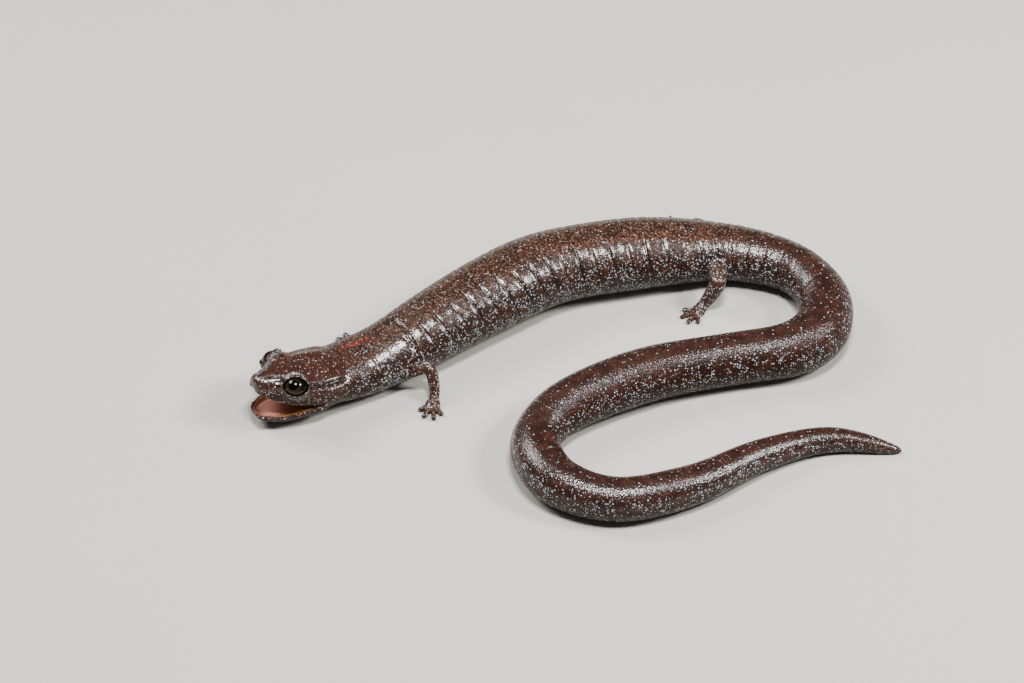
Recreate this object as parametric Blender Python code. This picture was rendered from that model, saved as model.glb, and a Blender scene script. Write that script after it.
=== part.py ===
"""Gabilan Mountains slender salamander: a still, life-size model.

The animal lies on the floor in a loose S, facing -X, with its mouth open.
Frame: metres, +X along the longest side, +Y away from the viewer, +Z up.
The origin is the middle of the footprint, on the floor.
Sizes below are in millimetres unless a comment says otherwise.
"""

import math

import bmesh
import bpy
import numpy as np
from mathutils import Matrix, Vector

MM = 0.001
GAP = 0.3
COLLECTION_NAME = "slender_salamander"
CUTTER_COLLECTION_NAME = "cutters"

# Place of the model's own drawing origin from the middle of its footprint
FOOTPRINT_SHIFT = (-5.33, 3.41)

# Head: a straight axis from the snout back to the nape
HEAD_START = (-22.75, -10.05, 4.15)
HEAD_LENGTH = 8.6
HEAD_YAW = 28.4
HEAD_PITCH = 13.4
HEAD_ROLL = 7.0
HEAD_SIDES = 32

# Body axis in plan, from the nape to the tail tip
BODY_AXIS = (
    (-15.39, -6.07), (-11.2, -3.9), (-7.4, -1.2), (-2.1, 2.8), (3.6, 6.4),
    (10.8, 8.2), (17.9, 9.1), (22.0, 8.6), (25.6, 7.0), (27.6, 4.2),
    (28.0, 1.4), (27.0, -1.5), (24.5, -3.3), (18.9, -4.5), (12.2, -6.3),
    (5.5, -9.7), (2.4, -13.0), (2.2, -16.1), (4.3, -19.3), (9.3, -20.9),
    (15.6, -19.0), (21.7, -15.2), (27.5, -13.1), (33.9, -13.7),
)

# Distance from the snout, half width, half height
BODY_PROFILE = (
    (8.6, 3.12, 2.00), (11.0, 3.14, 2.20), (14.0, 3.18, 2.50),
    (18.0, 3.37, 2.90), (22.0, 3.55, 3.10), (27.0, 3.68, 3.24),
    (33.0, 3.57, 3.14), (40.0, 3.47, 3.05), (43.5, 3.18, 2.80),
    (47.0, 2.80, 2.50), (51.0, 2.54, 2.33), (55.0, 2.30, 2.18),
    (59.0, 2.38, 2.28), (64.0, 2.58, 2.52), (68.0, 2.42, 2.38),
    (74.0, 2.37, 2.36), (82.0, 2.46, 2.46), (88.0, 2.32, 2.32),
    (92.0, 2.14, 2.14), (96.0, 2.24, 2.24), (101.0, 2.02, 2.02),
    (108.0, 1.87, 1.87), (115.0, 1.58, 1.58), (121.0, 1.27, 1.27),
    (125.0, 1.06, 1.06), (128.0, 0.72, 0.72), (130.0, 0.34, 0.34),
)
BELLY_FLAT = 0.12
NAPE_LIFT = 0.28
NAPE_LIFT_RUN = 3.5

# Grooves in the skin between the ribs, and their paler likes on the tail
FIRST_GROOVE = 15.5
GROOVE_SPACING = 1.65
LAST_GROOVE = 67.0
GROOVE_DEPTH = 0.20
GROOVE_HALF_WIDTH = 0.35
TAIL_START = 49.0
BACK_FURROW_DEPTH = 0.12
TORSO_SIDES = 24
TAIL_SIDES = 18
PLAIN_RING_SPACING = 1.3

# Name, start and end of each length of the body, from the snout
BODY_LENGTHS = (
    ("neck", 8.6, 12.2, TORSO_SIDES), ("torso_front", 12.2, 24.0, TORSO_SIDES),
    ("torso_middle", 24.0, 36.4, TORSO_SIDES), ("torso_rear", 36.4, 49.0, TORSO_SIDES),
    ("tail_1", 49.0, 55.6, TAIL_SIDES), ("tail_2", 55.6, 61.0, TAIL_SIDES),
    ("tail_3", 61.0, 67.6, TAIL_SIDES), ("tail_4", 67.6, 83.0, TAIL_SIDES),
    ("tail_5", 83.0, 91.4, TAIL_SIDES), ("tail_6", 91.4, 97.6, TAIL_SIDES),
    ("tail_7", 97.6, 107.0, TAIL_SIDES), ("tail_8", 107.0, 119.0, TAIL_SIDES),
    ("tail_9", 119.0, 130.3, TAIL_SIDES),
)

# Head outline by distance behind the snout: half width, roof, throat height
HEAD_PROFILE = (
    (0.20, 0.34, 0.88, -0.30), (0.32, 0.60, 1.00, -0.55), (0.60, 0.92, 1.20, -0.85),
    (1.00, 1.20, 1.36, -1.15), (1.70, 1.62, 1.54, -1.50), (2.50, 2.04, 1.68, -1.80),
    (3.40, 2.44, 1.79, -2.00), (4.50, 2.76, 1.90, -2.15), (5.60, 2.98, 1.98, -2.22),
    (6.60, 3.08, 2.00, -2.20), (7.60, 3.12, 2.00, -2.10), (8.60, 3.12, 2.00, -2.00),
)
# Upper lip by distance behind the snout: height of the lip's edge
UPPER_LIP = ((0.0, 0.10), (0.6, -0.08), (1.7, -0.24), (3.4, -0.40), (4.8, -0.70), (6.0, -1.08))
MOUTH_END = 6.0
PALATE_RISE = 0.55
LIP_BULGE = 0.07

# Lower jaw by distance behind the snout: half width, lip edge, chin height
JAW_PROFILE = (
    (0.75, 0.50, -2.48, -2.84), (0.90, 0.82, -2.45, -3.00), (1.20, 1.20, -2.38, -3.12),
    (1.70, 1.62, -2.26, -3.14), (2.60, 2.04, -2.08, -3.06), (3.60, 2.38, -1.84, -2.88),
    (4.60, 2.66, -1.60, -2.66), (5.70, 2.90, -1.40, -2.36),
)
MOUTH_FLOOR_DEPTH = 0.36
TONGUE_MIDDLE = 2.7
TONGUE_LENGTH = 1.5
TONGUE_HEIGHT = 0.22

# Eyes: place behind, beside and above the head's axis, and sizes
EYE_BEHIND = 3.3
EYE_BESIDE = 2.05
EYE_ABOVE = 0.84
EYE_RADIUS = 1.10
SOCKET_RADIUS = EYE_RADIUS + 0.25
LID_RADIUS = 1.46
LID_SHIFT = 0.27
EYE_AXIS = (-0.18, 0.80, 0.57)
NOSTRIL_BEHIND = 0.56
NOSTRIL_BESIDE = 0.74
NOSTRIL_ABOVE = 0.84
NOSTRIL_RADIUS = 0.15

# Legs: joints from the root to the palm, with the limb's radius at each
LEFT_FORELEG = (
    (-10.2, -4.3, 1.7, 0.62), (-8.9, -5.9, 2.2, 0.52), (-7.4, -6.0, 2.75, 0.50),
    (-6.9, -6.6, 1.7, 0.50), (-6.8, -7.3, 0.72, 0.42), (-6.95, -8.1, 0.42, 0.36),
)
RIGHT_FORELEG = (
    (-11.2, -3.4, 1.5, 0.62), (-12.0, -1.8, 1.5, 0.52), (-12.5, -0.65, 1.2, 0.50),
    (-12.95, -0.25, 0.82, 0.46), (-13.4, -0.15, 0.58, 0.40), (-13.95, -0.2, 0.42, 0.36),
)
LEFT_HINDLEG = (
    (18.3, 7.6, 2.3, 0.90), (18.45, 6.0, 2.9, 0.78), (18.4, 4.4, 2.95, 0.72),
    (17.9, 4.3, 1.7, 0.64), (17.35, 4.2, 0.75, 0.52), (16.7, 3.6, 0.42, 0.42),
)
RIGHT_HINDLEG = (
    (18.0, 10.9, 2.0, 0.90), (17.6, 12.4, 1.8, 0.76), (17.0, 13.5, 1.5, 0.64),
    (16.4, 14.0, 1.0, 0.56), (15.9, 14.3, 0.60, 0.48), (15.1, 14.6, 0.42, 0.42),
)
# Toes: angle from the foot's own line, length
TOES = ((-52.0, 0.85), (-18.0, 1.20), (14.0, 1.25), (46.0, 0.95))
TOE_RADIUS = 0.27
TOE_TIP_RADIUS = 0.16
TOE_SOLE = 0.05
PALM_LENGTH = 0.62
PALM_WIDTH = 0.70
PALM_HEIGHT = 0.36
LEG_STEPS = 3

# Colours as red, green, blue, in linear light
BACK_COLOUR = (0.030, 0.016, 0.011)
TAIL_COLOUR = (0.034, 0.019, 0.016)
LEG_COLOUR = (0.060, 0.030, 0.018)
JAW_COLOUR = (0.050, 0.027, 0.018)
EYE_COLOUR = (0.008, 0.005, 0.004)
SKIN_ROUGHNESS = 0.32
EYE_ROUGHNESS = 0.05


def smooth_table(table, where):
    """Value of each column of a table at one place, along a smooth curve."""
    rows = np.array(table)
    places = rows[:, 0]
    values = rows[:, 1:]
    slopes = np.gradient(values, places, axis=0)
    if where <= places[0]:
        return values[0]
    if where >= places[-1]:
        return values[-1]
    i = int(np.searchsorted(places, where)) - 1
    run = places[i + 1] - places[i]
    t = (where - places[i]) / run
    start = values[i] * (2 * t ** 3 - 3 * t ** 2 + 1)
    start = start + slopes[i] * run * (t ** 3 - 2 * t ** 2 + t)
    end = values[i + 1] * (3 * t ** 2 - 2 * t ** 3)
    end = end + slopes[i + 1] * run * (t ** 3 - t ** 2)
    return start + end


def ease(t):
    """0 to 1 with level ends, for t from 0 to 1."""
    t = min(max(t, 0.0), 1.0)
    return t * t * (3.0 - 2.0 * t)


def head_axes():
    """Directions back along the head, to its left side, and up from its roof."""
    yaw = math.radians(HEAD_YAW)
    pitch = math.radians(HEAD_PITCH)
    back = Vector((math.cos(yaw) * math.cos(pitch), math.sin(yaw) * math.cos(pitch), -math.sin(pitch)))
    level = Vector((math.sin(yaw), -math.cos(yaw), 0.0))
    upright = back.cross(level)
    if upright.z < 0.0:
        upright = -upright
    roll = math.radians(HEAD_ROLL)
    left = level * math.cos(roll) + upright * math.sin(roll)
    up = upright * math.cos(roll) - level * math.sin(roll)
    return back, left, up


def head_point(behind, beside, above):
    """A place on the head, given behind the snout, to the left and above the axis."""
    back, left, up = head_axes()
    return Vector(HEAD_START) + back * behind + left * beside + up * above


def trace_axis(points, start_direction, steps=24):
    """Closely spaced points on a smooth curve through the given ones, and their distances."""
    knots = [np.array(p, dtype=float) for p in points]
    first_run = np.linalg.norm(knots[1] - knots[0])
    before = knots[1] - 2.0 * first_run * np.array(start_direction)
    after = 2.0 * knots[-1] - knots[-2]
    knots = [before] + knots + [after]
    line = []
    for i in range(1, len(knots) - 2):
        for k in range(steps):
            line.append(curve_point(knots[i - 1:i + 3], k / steps))
    line.append(knots[-2])
    line = np.array(line)
    runs = np.linalg.norm(np.diff(line, axis=0), axis=1)
    return line, np.concatenate([[0.0], np.cumsum(runs)])


def curve_point(four, t):
    """A point between the second and third of four knots of a Catmull-Rom curve."""
    a, b, c, d = four
    return 0.5 * (2 * b + (c - a) * t + (2 * a - 5 * b + 4 * c - d) * t ** 2
                  + (3 * b - a - 3 * c + d) * t ** 3)


def body_axis():
    """The body's axis in plan, and the distance of its points from the snout."""
    yaw = math.radians(HEAD_YAW)
    line, distance = trace_axis(BODY_AXIS, (math.cos(yaw), math.sin(yaw)))
    return line, distance + HEAD_LENGTH


AXIS_LINE, AXIS_DISTANCE = body_axis()


def body_centre(distance):
    """Centre of the body's section at a distance from the snout."""
    x = np.interp(distance, AXIS_DISTANCE, AXIS_LINE[:, 0])
    y = np.interp(distance, AXIS_DISTANCE, AXIS_LINE[:, 1])
    half_height = smooth_table(BODY_PROFILE, distance)[1]
    rest = BELLY_FLAT * min(1.0, half_height)
    past_nape = min((distance - HEAD_LENGTH) / NAPE_LIFT_RUN, 1.0)
    lift = NAPE_LIFT * (1.0 - past_nape) ** 2
    return Vector((x, y, half_height - rest + lift))


def body_frame(distance):
    """Centre, left side and up direction of the body's section."""
    step = 0.25
    ahead = body_centre(max(distance - step, HEAD_LENGTH))
    behind = body_centre(min(distance + step, AXIS_DISTANCE[-1]))
    along = (behind - ahead).normalized()
    head_back, head_left, _ = head_axes()
    turn = ease((distance - HEAD_LENGTH) / NAPE_LIFT_RUN)
    along = (head_back * (1.0 - turn) + along * turn).normalized()
    level = Vector((along.y, -along.x, 0.0)).normalized()
    left = (head_left * (1.0 - turn) + level * turn).normalized()
    up = left.cross(along)
    if up.z < 0.0:
        up = -up
    return body_centre(distance), left, up


def groove_depth(distance, angle):
    """How far the skin is drawn in by the grooves between the ribs."""
    if distance > LAST_GROOVE + GROOVE_SPACING / 2 or distance < FIRST_GROOVE - GROOVE_SPACING / 2:
        return 0.0
    nearest = FIRST_GROOVE + GROOVE_SPACING * round((distance - FIRST_GROOVE) / GROOVE_SPACING)
    off = (distance - nearest) / GROOVE_HALF_WIDTH
    across = math.exp(-off * off)
    fade = 1.0 - 0.75 * ease((distance - TAIL_START) / (LAST_GROOVE - TAIL_START))
    flank = ease((math.cos(angle) ** 2 - 0.02) / 0.5)
    return GROOVE_DEPTH * across * fade * flank


def body_ring(distance, sides, grow=0.0, grooved=True):
    """One ring of points round the body, flat where it rests on the floor."""
    centre, left, up = body_frame(distance)
    half_width, half_height = smooth_table(BODY_PROFILE, distance)
    ring = []
    for i in range(sides):
        angle = 2.0 * math.pi * i / sides
        inward = 0.0
        if grooved:
            inward = groove_depth(distance, angle)
            top = (angle - math.pi / 2) / math.radians(14.0)
            inward += BACK_FURROW_DEPTH * math.exp(-top * top) * min(half_width / 3.0, 1.0) ** 3
        wide = (half_width + grow - inward) * math.cos(angle)
        high = (half_height + grow - inward) * math.sin(angle)
        point = centre + left * wide + up * high
        point.z = max(point.z, 0.0 if grow == 0.0 else -1.0)
        ring.append(point)
    return ring


def ring_places(start, end):
    """Distances of the rings of one length: at each groove and its edges, or evenly."""
    places = [start, end]
    count = int((LAST_GROOVE - FIRST_GROOVE) / GROOVE_SPACING) + 1
    grooves = [FIRST_GROOVE + GROOVE_SPACING * i for i in range(count)]
    edge = GROOVE_HALF_WIDTH * 1.25
    for groove in grooves:
        places += [groove - edge, groove, groove + edge]
    last = grooves[-1] + edge
    run = max(int((AXIS_DISTANCE[-1] - last) / PLAIN_RING_SPACING), 1)
    places += [last + PLAIN_RING_SPACING * i for i in range(1, run + 1)]
    places += [HEAD_LENGTH + PLAIN_RING_SPACING * i for i in range(1, 5)]
    nearest = 0.2
    inside = [p for p in places if start + nearest < p < end - nearest]
    return [start] + sorted(inside) + [end]


def collection(name):
    """A collection in the scene with this name."""
    made = bpy.data.collections.new(name)
    bpy.context.scene.collection.children.link(made)
    return made


def mesh_object(name, bm, home):
    """An object with the shape of bm, its faces pointing out."""
    bmesh.ops.recalc_face_normals(bm, faces=bm.faces)
    mesh = bpy.data.meshes.new(name)
    bm.to_mesh(mesh)
    bm.free()
    thing = bpy.data.objects.new(name, mesh)
    home.objects.link(thing)
    return thing


def loft(name, rings, home):
    """A closed solid through rings of equal count, with flat ends."""
    bm = bmesh.new()
    shift = Vector((FOOTPRINT_SHIFT[0], FOOTPRINT_SHIFT[1], 0.0))
    loops = [[bm.verts.new((point + shift) * MM) for point in ring] for ring in rings]
    count = len(loops[0])
    for near, far in zip(loops, loops[1:]):
        for i in range(count):
            j = (i + 1) % count
            bm.faces.new((near[i], near[j], far[j], far[i]))
    bm.faces.new(loops[0])
    bm.faces.new(reversed(loops[-1]))
    return mesh_object(name, bm, home)


def ball(name, centre, radius, home, segments=20, rings=12):
    """A ball in the model's own millimetres, its poles up and down."""
    bm = bmesh.new()
    bmesh.ops.create_uvsphere(bm, u_segments=segments, v_segments=rings, radius=radius * MM)
    shift = Vector((FOOTPRINT_SHIFT[0], FOOTPRINT_SHIFT[1], 0.0))
    bmesh.ops.translate(bm, verts=bm.verts, vec=(Vector(centre) + shift) * MM)
    return mesh_object(name, bm, home)


def hide(thing):
    """Marks a cutter, which is no part of the model."""
    thing.hide_render = True
    thing.display_type = "WIRE"


def bake(thing):
    """Puts the shape that the modifiers make in the object's own mesh."""
    bpy.context.view_layer.update()
    graph = bpy.context.evaluated_depsgraph_get()
    shape = bpy.data.meshes.new_from_object(thing.evaluated_get(graph))
    old = thing.data
    thing.modifiers.clear()
    thing.data = shape
    shape.name = thing.name
    bpy.data.meshes.remove(old)


def keep_largest(thing):
    """Drops loose scraps, so that the object is one closed body."""
    bm = bmesh.new()
    bm.from_mesh(thing.data)
    left = set(bm.verts)
    groups = []
    while left:
        edge = [left.pop()]
        group = set(edge)
        while edge:
            vert = edge.pop()
            for link in vert.link_edges:
                other = link.other_vert(vert)
                if other in left:
                    left.remove(other)
                    group.add(other)
                    edge.append(other)
        groups.append(group)
    groups.sort(key=len)
    scraps = [vert for group in groups[:-1] for vert in group]
    bmesh.ops.delete(bm, geom=scraps, context="VERTS")
    bmesh.ops.recalc_face_normals(bm, faces=bm.faces)
    bm.to_mesh(thing.data)
    bm.free()


def cut(thing, cutters):
    """Takes the cutters' shapes out of an object."""
    for cutter in cutters:
        hide(cutter)
        modifier = thing.modifiers.new("cut_" + cutter.name, "BOOLEAN")
        modifier.operation = "DIFFERENCE"
        modifier.solver = "EXACT"
        modifier.object = cutter
    bake(thing)
    keep_largest(thing)


def join(thing, pieces):
    """Fuses closed pieces into an object as one body, and removes them."""
    group = collection("pieces_of_" + thing.name)
    for piece in pieces:
        for home in list(piece.users_collection):
            home.objects.unlink(piece)
        group.objects.link(piece)
    modifier = thing.modifiers.new("join", "BOOLEAN")
    modifier.operation = "UNION"
    modifier.operand_type = "COLLECTION"
    modifier.solver = "EXACT"
    modifier.collection = group
    bake(thing)
    for piece in pieces:
        bpy.data.objects.remove(piece)
    bpy.data.collections.remove(group)


def material(name, colour, roughness):
    """A Principled material of one plain colour."""
    made = bpy.data.materials.new(name)
    made.use_nodes = True
    shader = made.node_tree.nodes["Principled BSDF"]
    shader.inputs["Base Color"].default_value = (*colour, 1.0)
    shader.inputs["Roughness"].default_value = roughness
    shader.inputs["Metallic"].default_value = 0.0
    return made


def finish(thing, finish_material):
    """Gives an object its material and smooth shading."""
    thing.data.materials.clear()
    thing.data.materials.append(finish_material)
    thing.data.shade_smooth()
    thing.data.set_sharp_from_angle(angle=math.radians(50.0))


def skull_half(behind, steps):
    """Points of the head's upper left half section, from the roof to the widest place."""
    half_width, roof, throat = smooth_table(HEAD_PROFILE, behind)
    lip = smooth_table(UPPER_LIP, behind)[0]
    cheek = lip + 0.30 + 0.15 * ease((behind - 4.0) / 3.0)
    points = []
    for i in range(steps):
        angle = math.pi / 2 * (1.0 - i / steps)
        wide = half_width * math.cos(angle) ** 0.86
        high = cheek + (roof - cheek) * math.sin(angle) ** 0.92
        points.append((wide, high))
    return points, half_width, cheek, lip, throat


def head_ring(behind, mouth):
    """One ring round the head: with the palate under it, or the throat behind the mouth."""
    steps = HEAD_SIDES // 4
    half, half_width, cheek, lip, throat = skull_half(behind, steps)
    for i in range(steps + 1):
        t = i / steps
        angle = math.pi / 2 * t
        if mouth:
            inward = ease((t - 0.12) / 0.88)
            wide = half_width * (1.0 - inward) + LIP_BULGE * math.sin(math.pi * min(t * 4.0, 1.0))
            down = min(t * 4.0, 1.0)
            rise = PALATE_RISE * ease((t - 0.25) / 0.75) * min(half_width / 2.0, 1.0)
            high = cheek + (lip - cheek) * ease(down) + rise
        else:
            wide = half_width * math.cos(angle) ** 0.9
            high = cheek + (throat - cheek) * math.sin(angle) ** 0.95
        half.append((max(wide, 0.0), high))
    left = [head_point(behind, wide, high) for wide, high in half]
    right = [head_point(behind, -wide, high) for wide, high in half[1:-1]]
    return left + right[::-1]


def jaw_ring(behind):
    """One ring round the lower jaw: the chin's skin outside, the mouth's floor inside."""
    half_width, lip, chin = smooth_table(JAW_PROFILE, behind)
    steps = HEAD_SIDES // 4
    tongue = TONGUE_HEIGHT * math.exp(-((behind - TONGUE_MIDDLE) / TONGUE_LENGTH) ** 4)
    floor = min(MOUTH_FLOOR_DEPTH, (lip - chin) * 0.4) * ease((behind - 0.6) / 0.5)
    half = []
    for i in range(steps):
        t = i / steps
        wide = half_width * (1.0 - 0.14) * t ** 0.8
        mound = tongue * ease(1.0 - t / 0.75)
        sunk = floor * (1.0 - ease((t - 0.55) / 0.45))
        half.append((wide, lip - sunk + mound))
    for i in range(steps + 1):
        angle = math.pi / 2 * i / steps
        wide = half_width * math.cos(angle) ** 0.8
        high = lip + (chin - lip) * math.sin(angle) ** 0.9
        half.append((wide, high))
    left = [head_point(behind, wide, high) for wide, high in half]
    right = [head_point(behind, -wide, high) for wide, high in half[1:-1]]
    return left + right[::-1]


def make_head(home, cutters):
    """The skull and throat, with lids, eye sockets and nostrils."""
    front = [0.2, 0.32, 0.6, 0.95, 1.4, 1.9, 2.6, 3.3, 4.0, 4.7, 5.4, MOUTH_END - 0.02]
    back = [MOUTH_END, 6.6, 7.3, 8.0, HEAD_LENGTH - GAP / 2]
    rings = [head_ring(place, True) for place in front] + [head_ring(place, False) for place in back]
    head = loft("head", rings, home)
    lids = []
    sockets = []
    for side, sign in (("left", 1.0), ("right", -1.0)):
        eye = (EYE_BEHIND, sign * EYE_BESIDE, EYE_ABOVE)
        axis = (EYE_AXIS[0], sign * EYE_AXIS[1], EYE_AXIS[2])
        lid = [place - LID_SHIFT * way for place, way in zip(eye, axis)]
        lids.append(ball("lid_" + side, head_point(*lid), LID_RADIUS, home, 18, 12))
        sockets.append(ball("socket_" + side, head_point(*eye), SOCKET_RADIUS, cutters, 18, 12))
        nostril = head_point(NOSTRIL_BEHIND, sign * NOSTRIL_BESIDE, NOSTRIL_ABOVE)
        sockets.append(ball("nostril_" + side, nostril, NOSTRIL_RADIUS, cutters, 8, 6))
    join(head, lids)
    cut(head, sockets)
    return head


def make_jaw(home):
    """The lower jaw, lowered, with the tongue's low mound on the mouth's floor."""
    places = [0.75, 0.86, 1.1, 1.5, 2.1, 2.8, 3.5, 4.2, 4.9, MOUTH_END - GAP]
    return loft("lower_jaw", [jaw_ring(place) for place in places], home)


def make_eye(side, sign, home):
    """One eyeball in its socket."""
    place = head_point(EYE_BEHIND, sign * EYE_BESIDE, EYE_ABOVE)
    return ball("eye_" + side, place, EYE_RADIUS, home, 18, 12)


def make_body_length(name, start, end, sides, home):
    """One length of the neck, torso or tail."""
    last = AXIS_DISTANCE[-1] - GAP
    first = start + GAP / 2
    stop = min(end - GAP / 2, last)
    return loft(name, [body_ring(place, sides) for place in ring_places(first, stop)], home)


def tube(name, points, home, resolution):
    """A round tube through points that each carry a radius, its ends closed."""
    curve = bpy.data.curves.new(name, "CURVE")
    curve.dimensions = "3D"
    curve.bevel_depth = MM
    curve.bevel_resolution = resolution
    curve.use_fill_caps = True
    spline = curve.splines.new("POLY")
    spline.points.add(len(points) - 1)
    shift = Vector((FOOTPRINT_SHIFT[0], FOOTPRINT_SHIFT[1], 0.0))
    for point, (place, radius) in zip(spline.points, points):
        point.co = (*((Vector(place) + shift) * MM), 1.0)
        point.radius = radius
    guide = bpy.data.objects.new(name, curve)
    home.objects.link(guide)
    bpy.context.view_layer.update()
    graph = bpy.context.evaluated_depsgraph_get()
    mesh = bpy.data.meshes.new_from_object(guide.evaluated_get(graph))
    bm = bmesh.new()
    bm.from_mesh(mesh)
    bmesh.ops.remove_doubles(bm, verts=bm.verts, dist=0.00001)
    bpy.data.objects.remove(guide)
    bpy.data.meshes.remove(mesh)
    return mesh_object(name, bm, home)


def limb_path(joints):
    """Places and radii along a limb, on a smooth curve through its joints."""
    knots = [np.array(joint) for joint in joints]
    knots = [2 * knots[0] - knots[1]] + knots + [2 * knots[-1] - knots[-2]]
    path = []
    for i in range(1, len(knots) - 2):
        for k in range(LEG_STEPS):
            path.append(curve_point(knots[i - 1:i + 3], k / LEG_STEPS))
    path.append(knots[-2])
    return [(tuple(point[:3]), float(point[3])) for point in path]


def make_palm(name, middle, direction, home):
    """The flat pad of a foot, along the foot's own line."""
    bm = bmesh.new()
    bmesh.ops.create_uvsphere(bm, u_segments=12, v_segments=8, radius=MM)
    size = Matrix.Diagonal((PALM_LENGTH, PALM_WIDTH, PALM_HEIGHT, 1.0))
    turn = Matrix.Rotation(math.atan2(direction.y, direction.x), 4, "Z")
    shift = Vector((FOOTPRINT_SHIFT[0], FOOTPRINT_SHIFT[1], 0.0))
    bmesh.ops.transform(bm, matrix=turn @ size, verts=bm.verts)
    bmesh.ops.translate(bm, verts=bm.verts, vec=(middle + shift) * MM)
    return mesh_object(name, bm, home)


def make_toe(name, root, direction, length, home):
    """One blunt toe, lying on the floor."""
    flat = Vector((direction.x, direction.y, 0.0)).normalized()
    level = TOE_RADIUS - TOE_SOLE
    knuckle = Vector((root.x, root.y, level)) + flat * length * 0.55
    end = Vector((root.x, root.y, level)) + flat * length
    tip = end + flat * TOE_TIP_RADIUS
    path = [
        (Vector((root.x, root.y, level)), TOE_RADIUS), (knuckle, TOE_RADIUS),
        (end, TOE_RADIUS * 0.9), (tip - Vector((0.0, 0.0, 0.05)), TOE_TIP_RADIUS),
    ]
    return tube(name, path, home, 1)


def make_leg(name, joints, root_distance, mirrored, home, cutters):
    """A leg with its foot and four toes, clear of the torso and flat on the floor."""
    leg = tube(name, limb_path(joints), home, 2)
    palm_place = Vector(joints[-1][:3])
    direction = palm_place - Vector(joints[-2][:3])
    direction.z = 0.0
    direction.normalize()
    palm_middle = Vector((palm_place.x, palm_place.y, PALM_HEIGHT - TOE_SOLE))
    pieces = [make_palm("palm", palm_middle, direction, home)]
    for i, (angle, length) in enumerate(TOES):
        turn = -angle if mirrored else angle
        way = Matrix.Rotation(math.radians(turn), 3, "Z") @ direction
        pieces.append(make_toe("toe_%d" % (i + 1), palm_middle, way, length + PALM_LENGTH * 0.6, home))
    join(leg, pieces)
    cut(leg, [body_clearance(name, root_distance, cutters), floor_cutter(name, palm_place, cutters)])
    return leg


def body_clearance(name, middle, cutters):
    """The torso near a leg's root, grown by the gap, as a cutter."""
    places = np.linspace(middle - 5.0, middle + 5.0, 21)
    rings = [body_ring(place, TORSO_SIDES, GAP, False) for place in places]
    return loft("body_by_" + name, rings, cutters)


def floor_cutter(name, place, cutters):
    """A block under the floor, which flattens the soles."""
    bm = bmesh.new()
    bmesh.ops.create_cube(bm, size=20.0 * MM)
    shift = Vector((FOOTPRINT_SHIFT[0], FOOTPRINT_SHIFT[1], 0.0))
    middle = Vector((place.x, place.y, -10.0)) + shift
    bmesh.ops.translate(bm, verts=bm.verts, vec=middle * MM)
    return mesh_object("floor_by_" + name, bm, cutters)


def main():
    """Builds every part of the animal."""
    for old in list(bpy.data.objects):
        bpy.data.objects.remove(old)
    parts = collection(COLLECTION_NAME)
    cutters = collection(CUTTER_COLLECTION_NAME)
    back_skin = material("back_skin", BACK_COLOUR, SKIN_ROUGHNESS)
    tail_skin = material("tail_skin", TAIL_COLOUR, SKIN_ROUGHNESS)
    leg_skin = material("leg_skin", LEG_COLOUR, SKIN_ROUGHNESS)
    jaw_skin = material("jaw_skin", JAW_COLOUR, SKIN_ROUGHNESS)
    eye_gloss = material("eye_gloss", EYE_COLOUR, EYE_ROUGHNESS)
    finish(make_head(parts, cutters), back_skin)
    finish(make_jaw(parts), jaw_skin)
    for side, sign in (("left", 1.0), ("right", -1.0)):
        finish(make_eye(side, sign, parts), eye_gloss)
    for name, start, end, sides in BODY_LENGTHS:
        skin = tail_skin if name.startswith("tail") else back_skin
        finish(make_body_length(name, start, end, sides, parts), skin)
    legs = (
        ("foreleg_left", LEFT_FORELEG, 13.6, False), ("foreleg_right", RIGHT_FORELEG, 13.6, True),
        ("hindleg_left", LEFT_HINDLEG, 46.0, False), ("hindleg_right", RIGHT_HINDLEG, 46.0, True),
    )
    for name, joints, root_distance, mirrored in legs:
        finish(make_leg(name, joints, root_distance, mirrored, parts, cutters), leg_skin)


if __name__ == "__main__":
    main()
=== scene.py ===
"""Looks of a slender salamander: one wet skin over the whole animal, two eyes and a plain stage.

The skin is worked out in millimetres in the drawing frame of the solids, then moved to the
middle of the footprint and scaled to metres. Laid out as an add-on, and run as a script.
"""

import math

import bmesh
import bpy
import numpy as np
from mathutils import Matrix, Vector


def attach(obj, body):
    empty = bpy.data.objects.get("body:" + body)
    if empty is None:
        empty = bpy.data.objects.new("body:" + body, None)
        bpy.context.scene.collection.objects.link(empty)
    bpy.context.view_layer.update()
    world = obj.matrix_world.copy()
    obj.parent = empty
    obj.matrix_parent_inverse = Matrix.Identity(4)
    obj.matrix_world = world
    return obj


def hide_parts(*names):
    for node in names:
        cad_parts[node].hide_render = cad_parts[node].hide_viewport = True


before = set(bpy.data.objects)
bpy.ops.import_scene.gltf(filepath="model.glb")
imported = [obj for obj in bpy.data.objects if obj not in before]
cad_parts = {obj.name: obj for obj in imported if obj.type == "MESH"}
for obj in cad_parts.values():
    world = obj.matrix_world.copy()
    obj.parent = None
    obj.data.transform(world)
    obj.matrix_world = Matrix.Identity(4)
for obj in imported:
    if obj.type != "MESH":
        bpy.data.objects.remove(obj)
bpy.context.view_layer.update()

bl_info = {
    "name": "Slender salamander model",
    "version": (1, 0, 0),
    "blender": (4, 5, 0),
    "location": "View3D > Sidebar > Salamander",
    "description": "Builds a life-size slender salamander with wet, silver-flecked skin",
    "category": "Object",
}

MM = 0.001
FOOTPRINT_SHIFT = (-5.33, 3.41)
TINY = 1e-6
FAR = 9.0

# Head: a straight axis from the snout back to the nape
HEAD_START = (-22.75, -10.05, 4.15)
HEAD_LENGTH = 8.6
HEAD_YAW = 28.4
HEAD_PITCH = 13.4
HEAD_ROLL = 7.0

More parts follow.
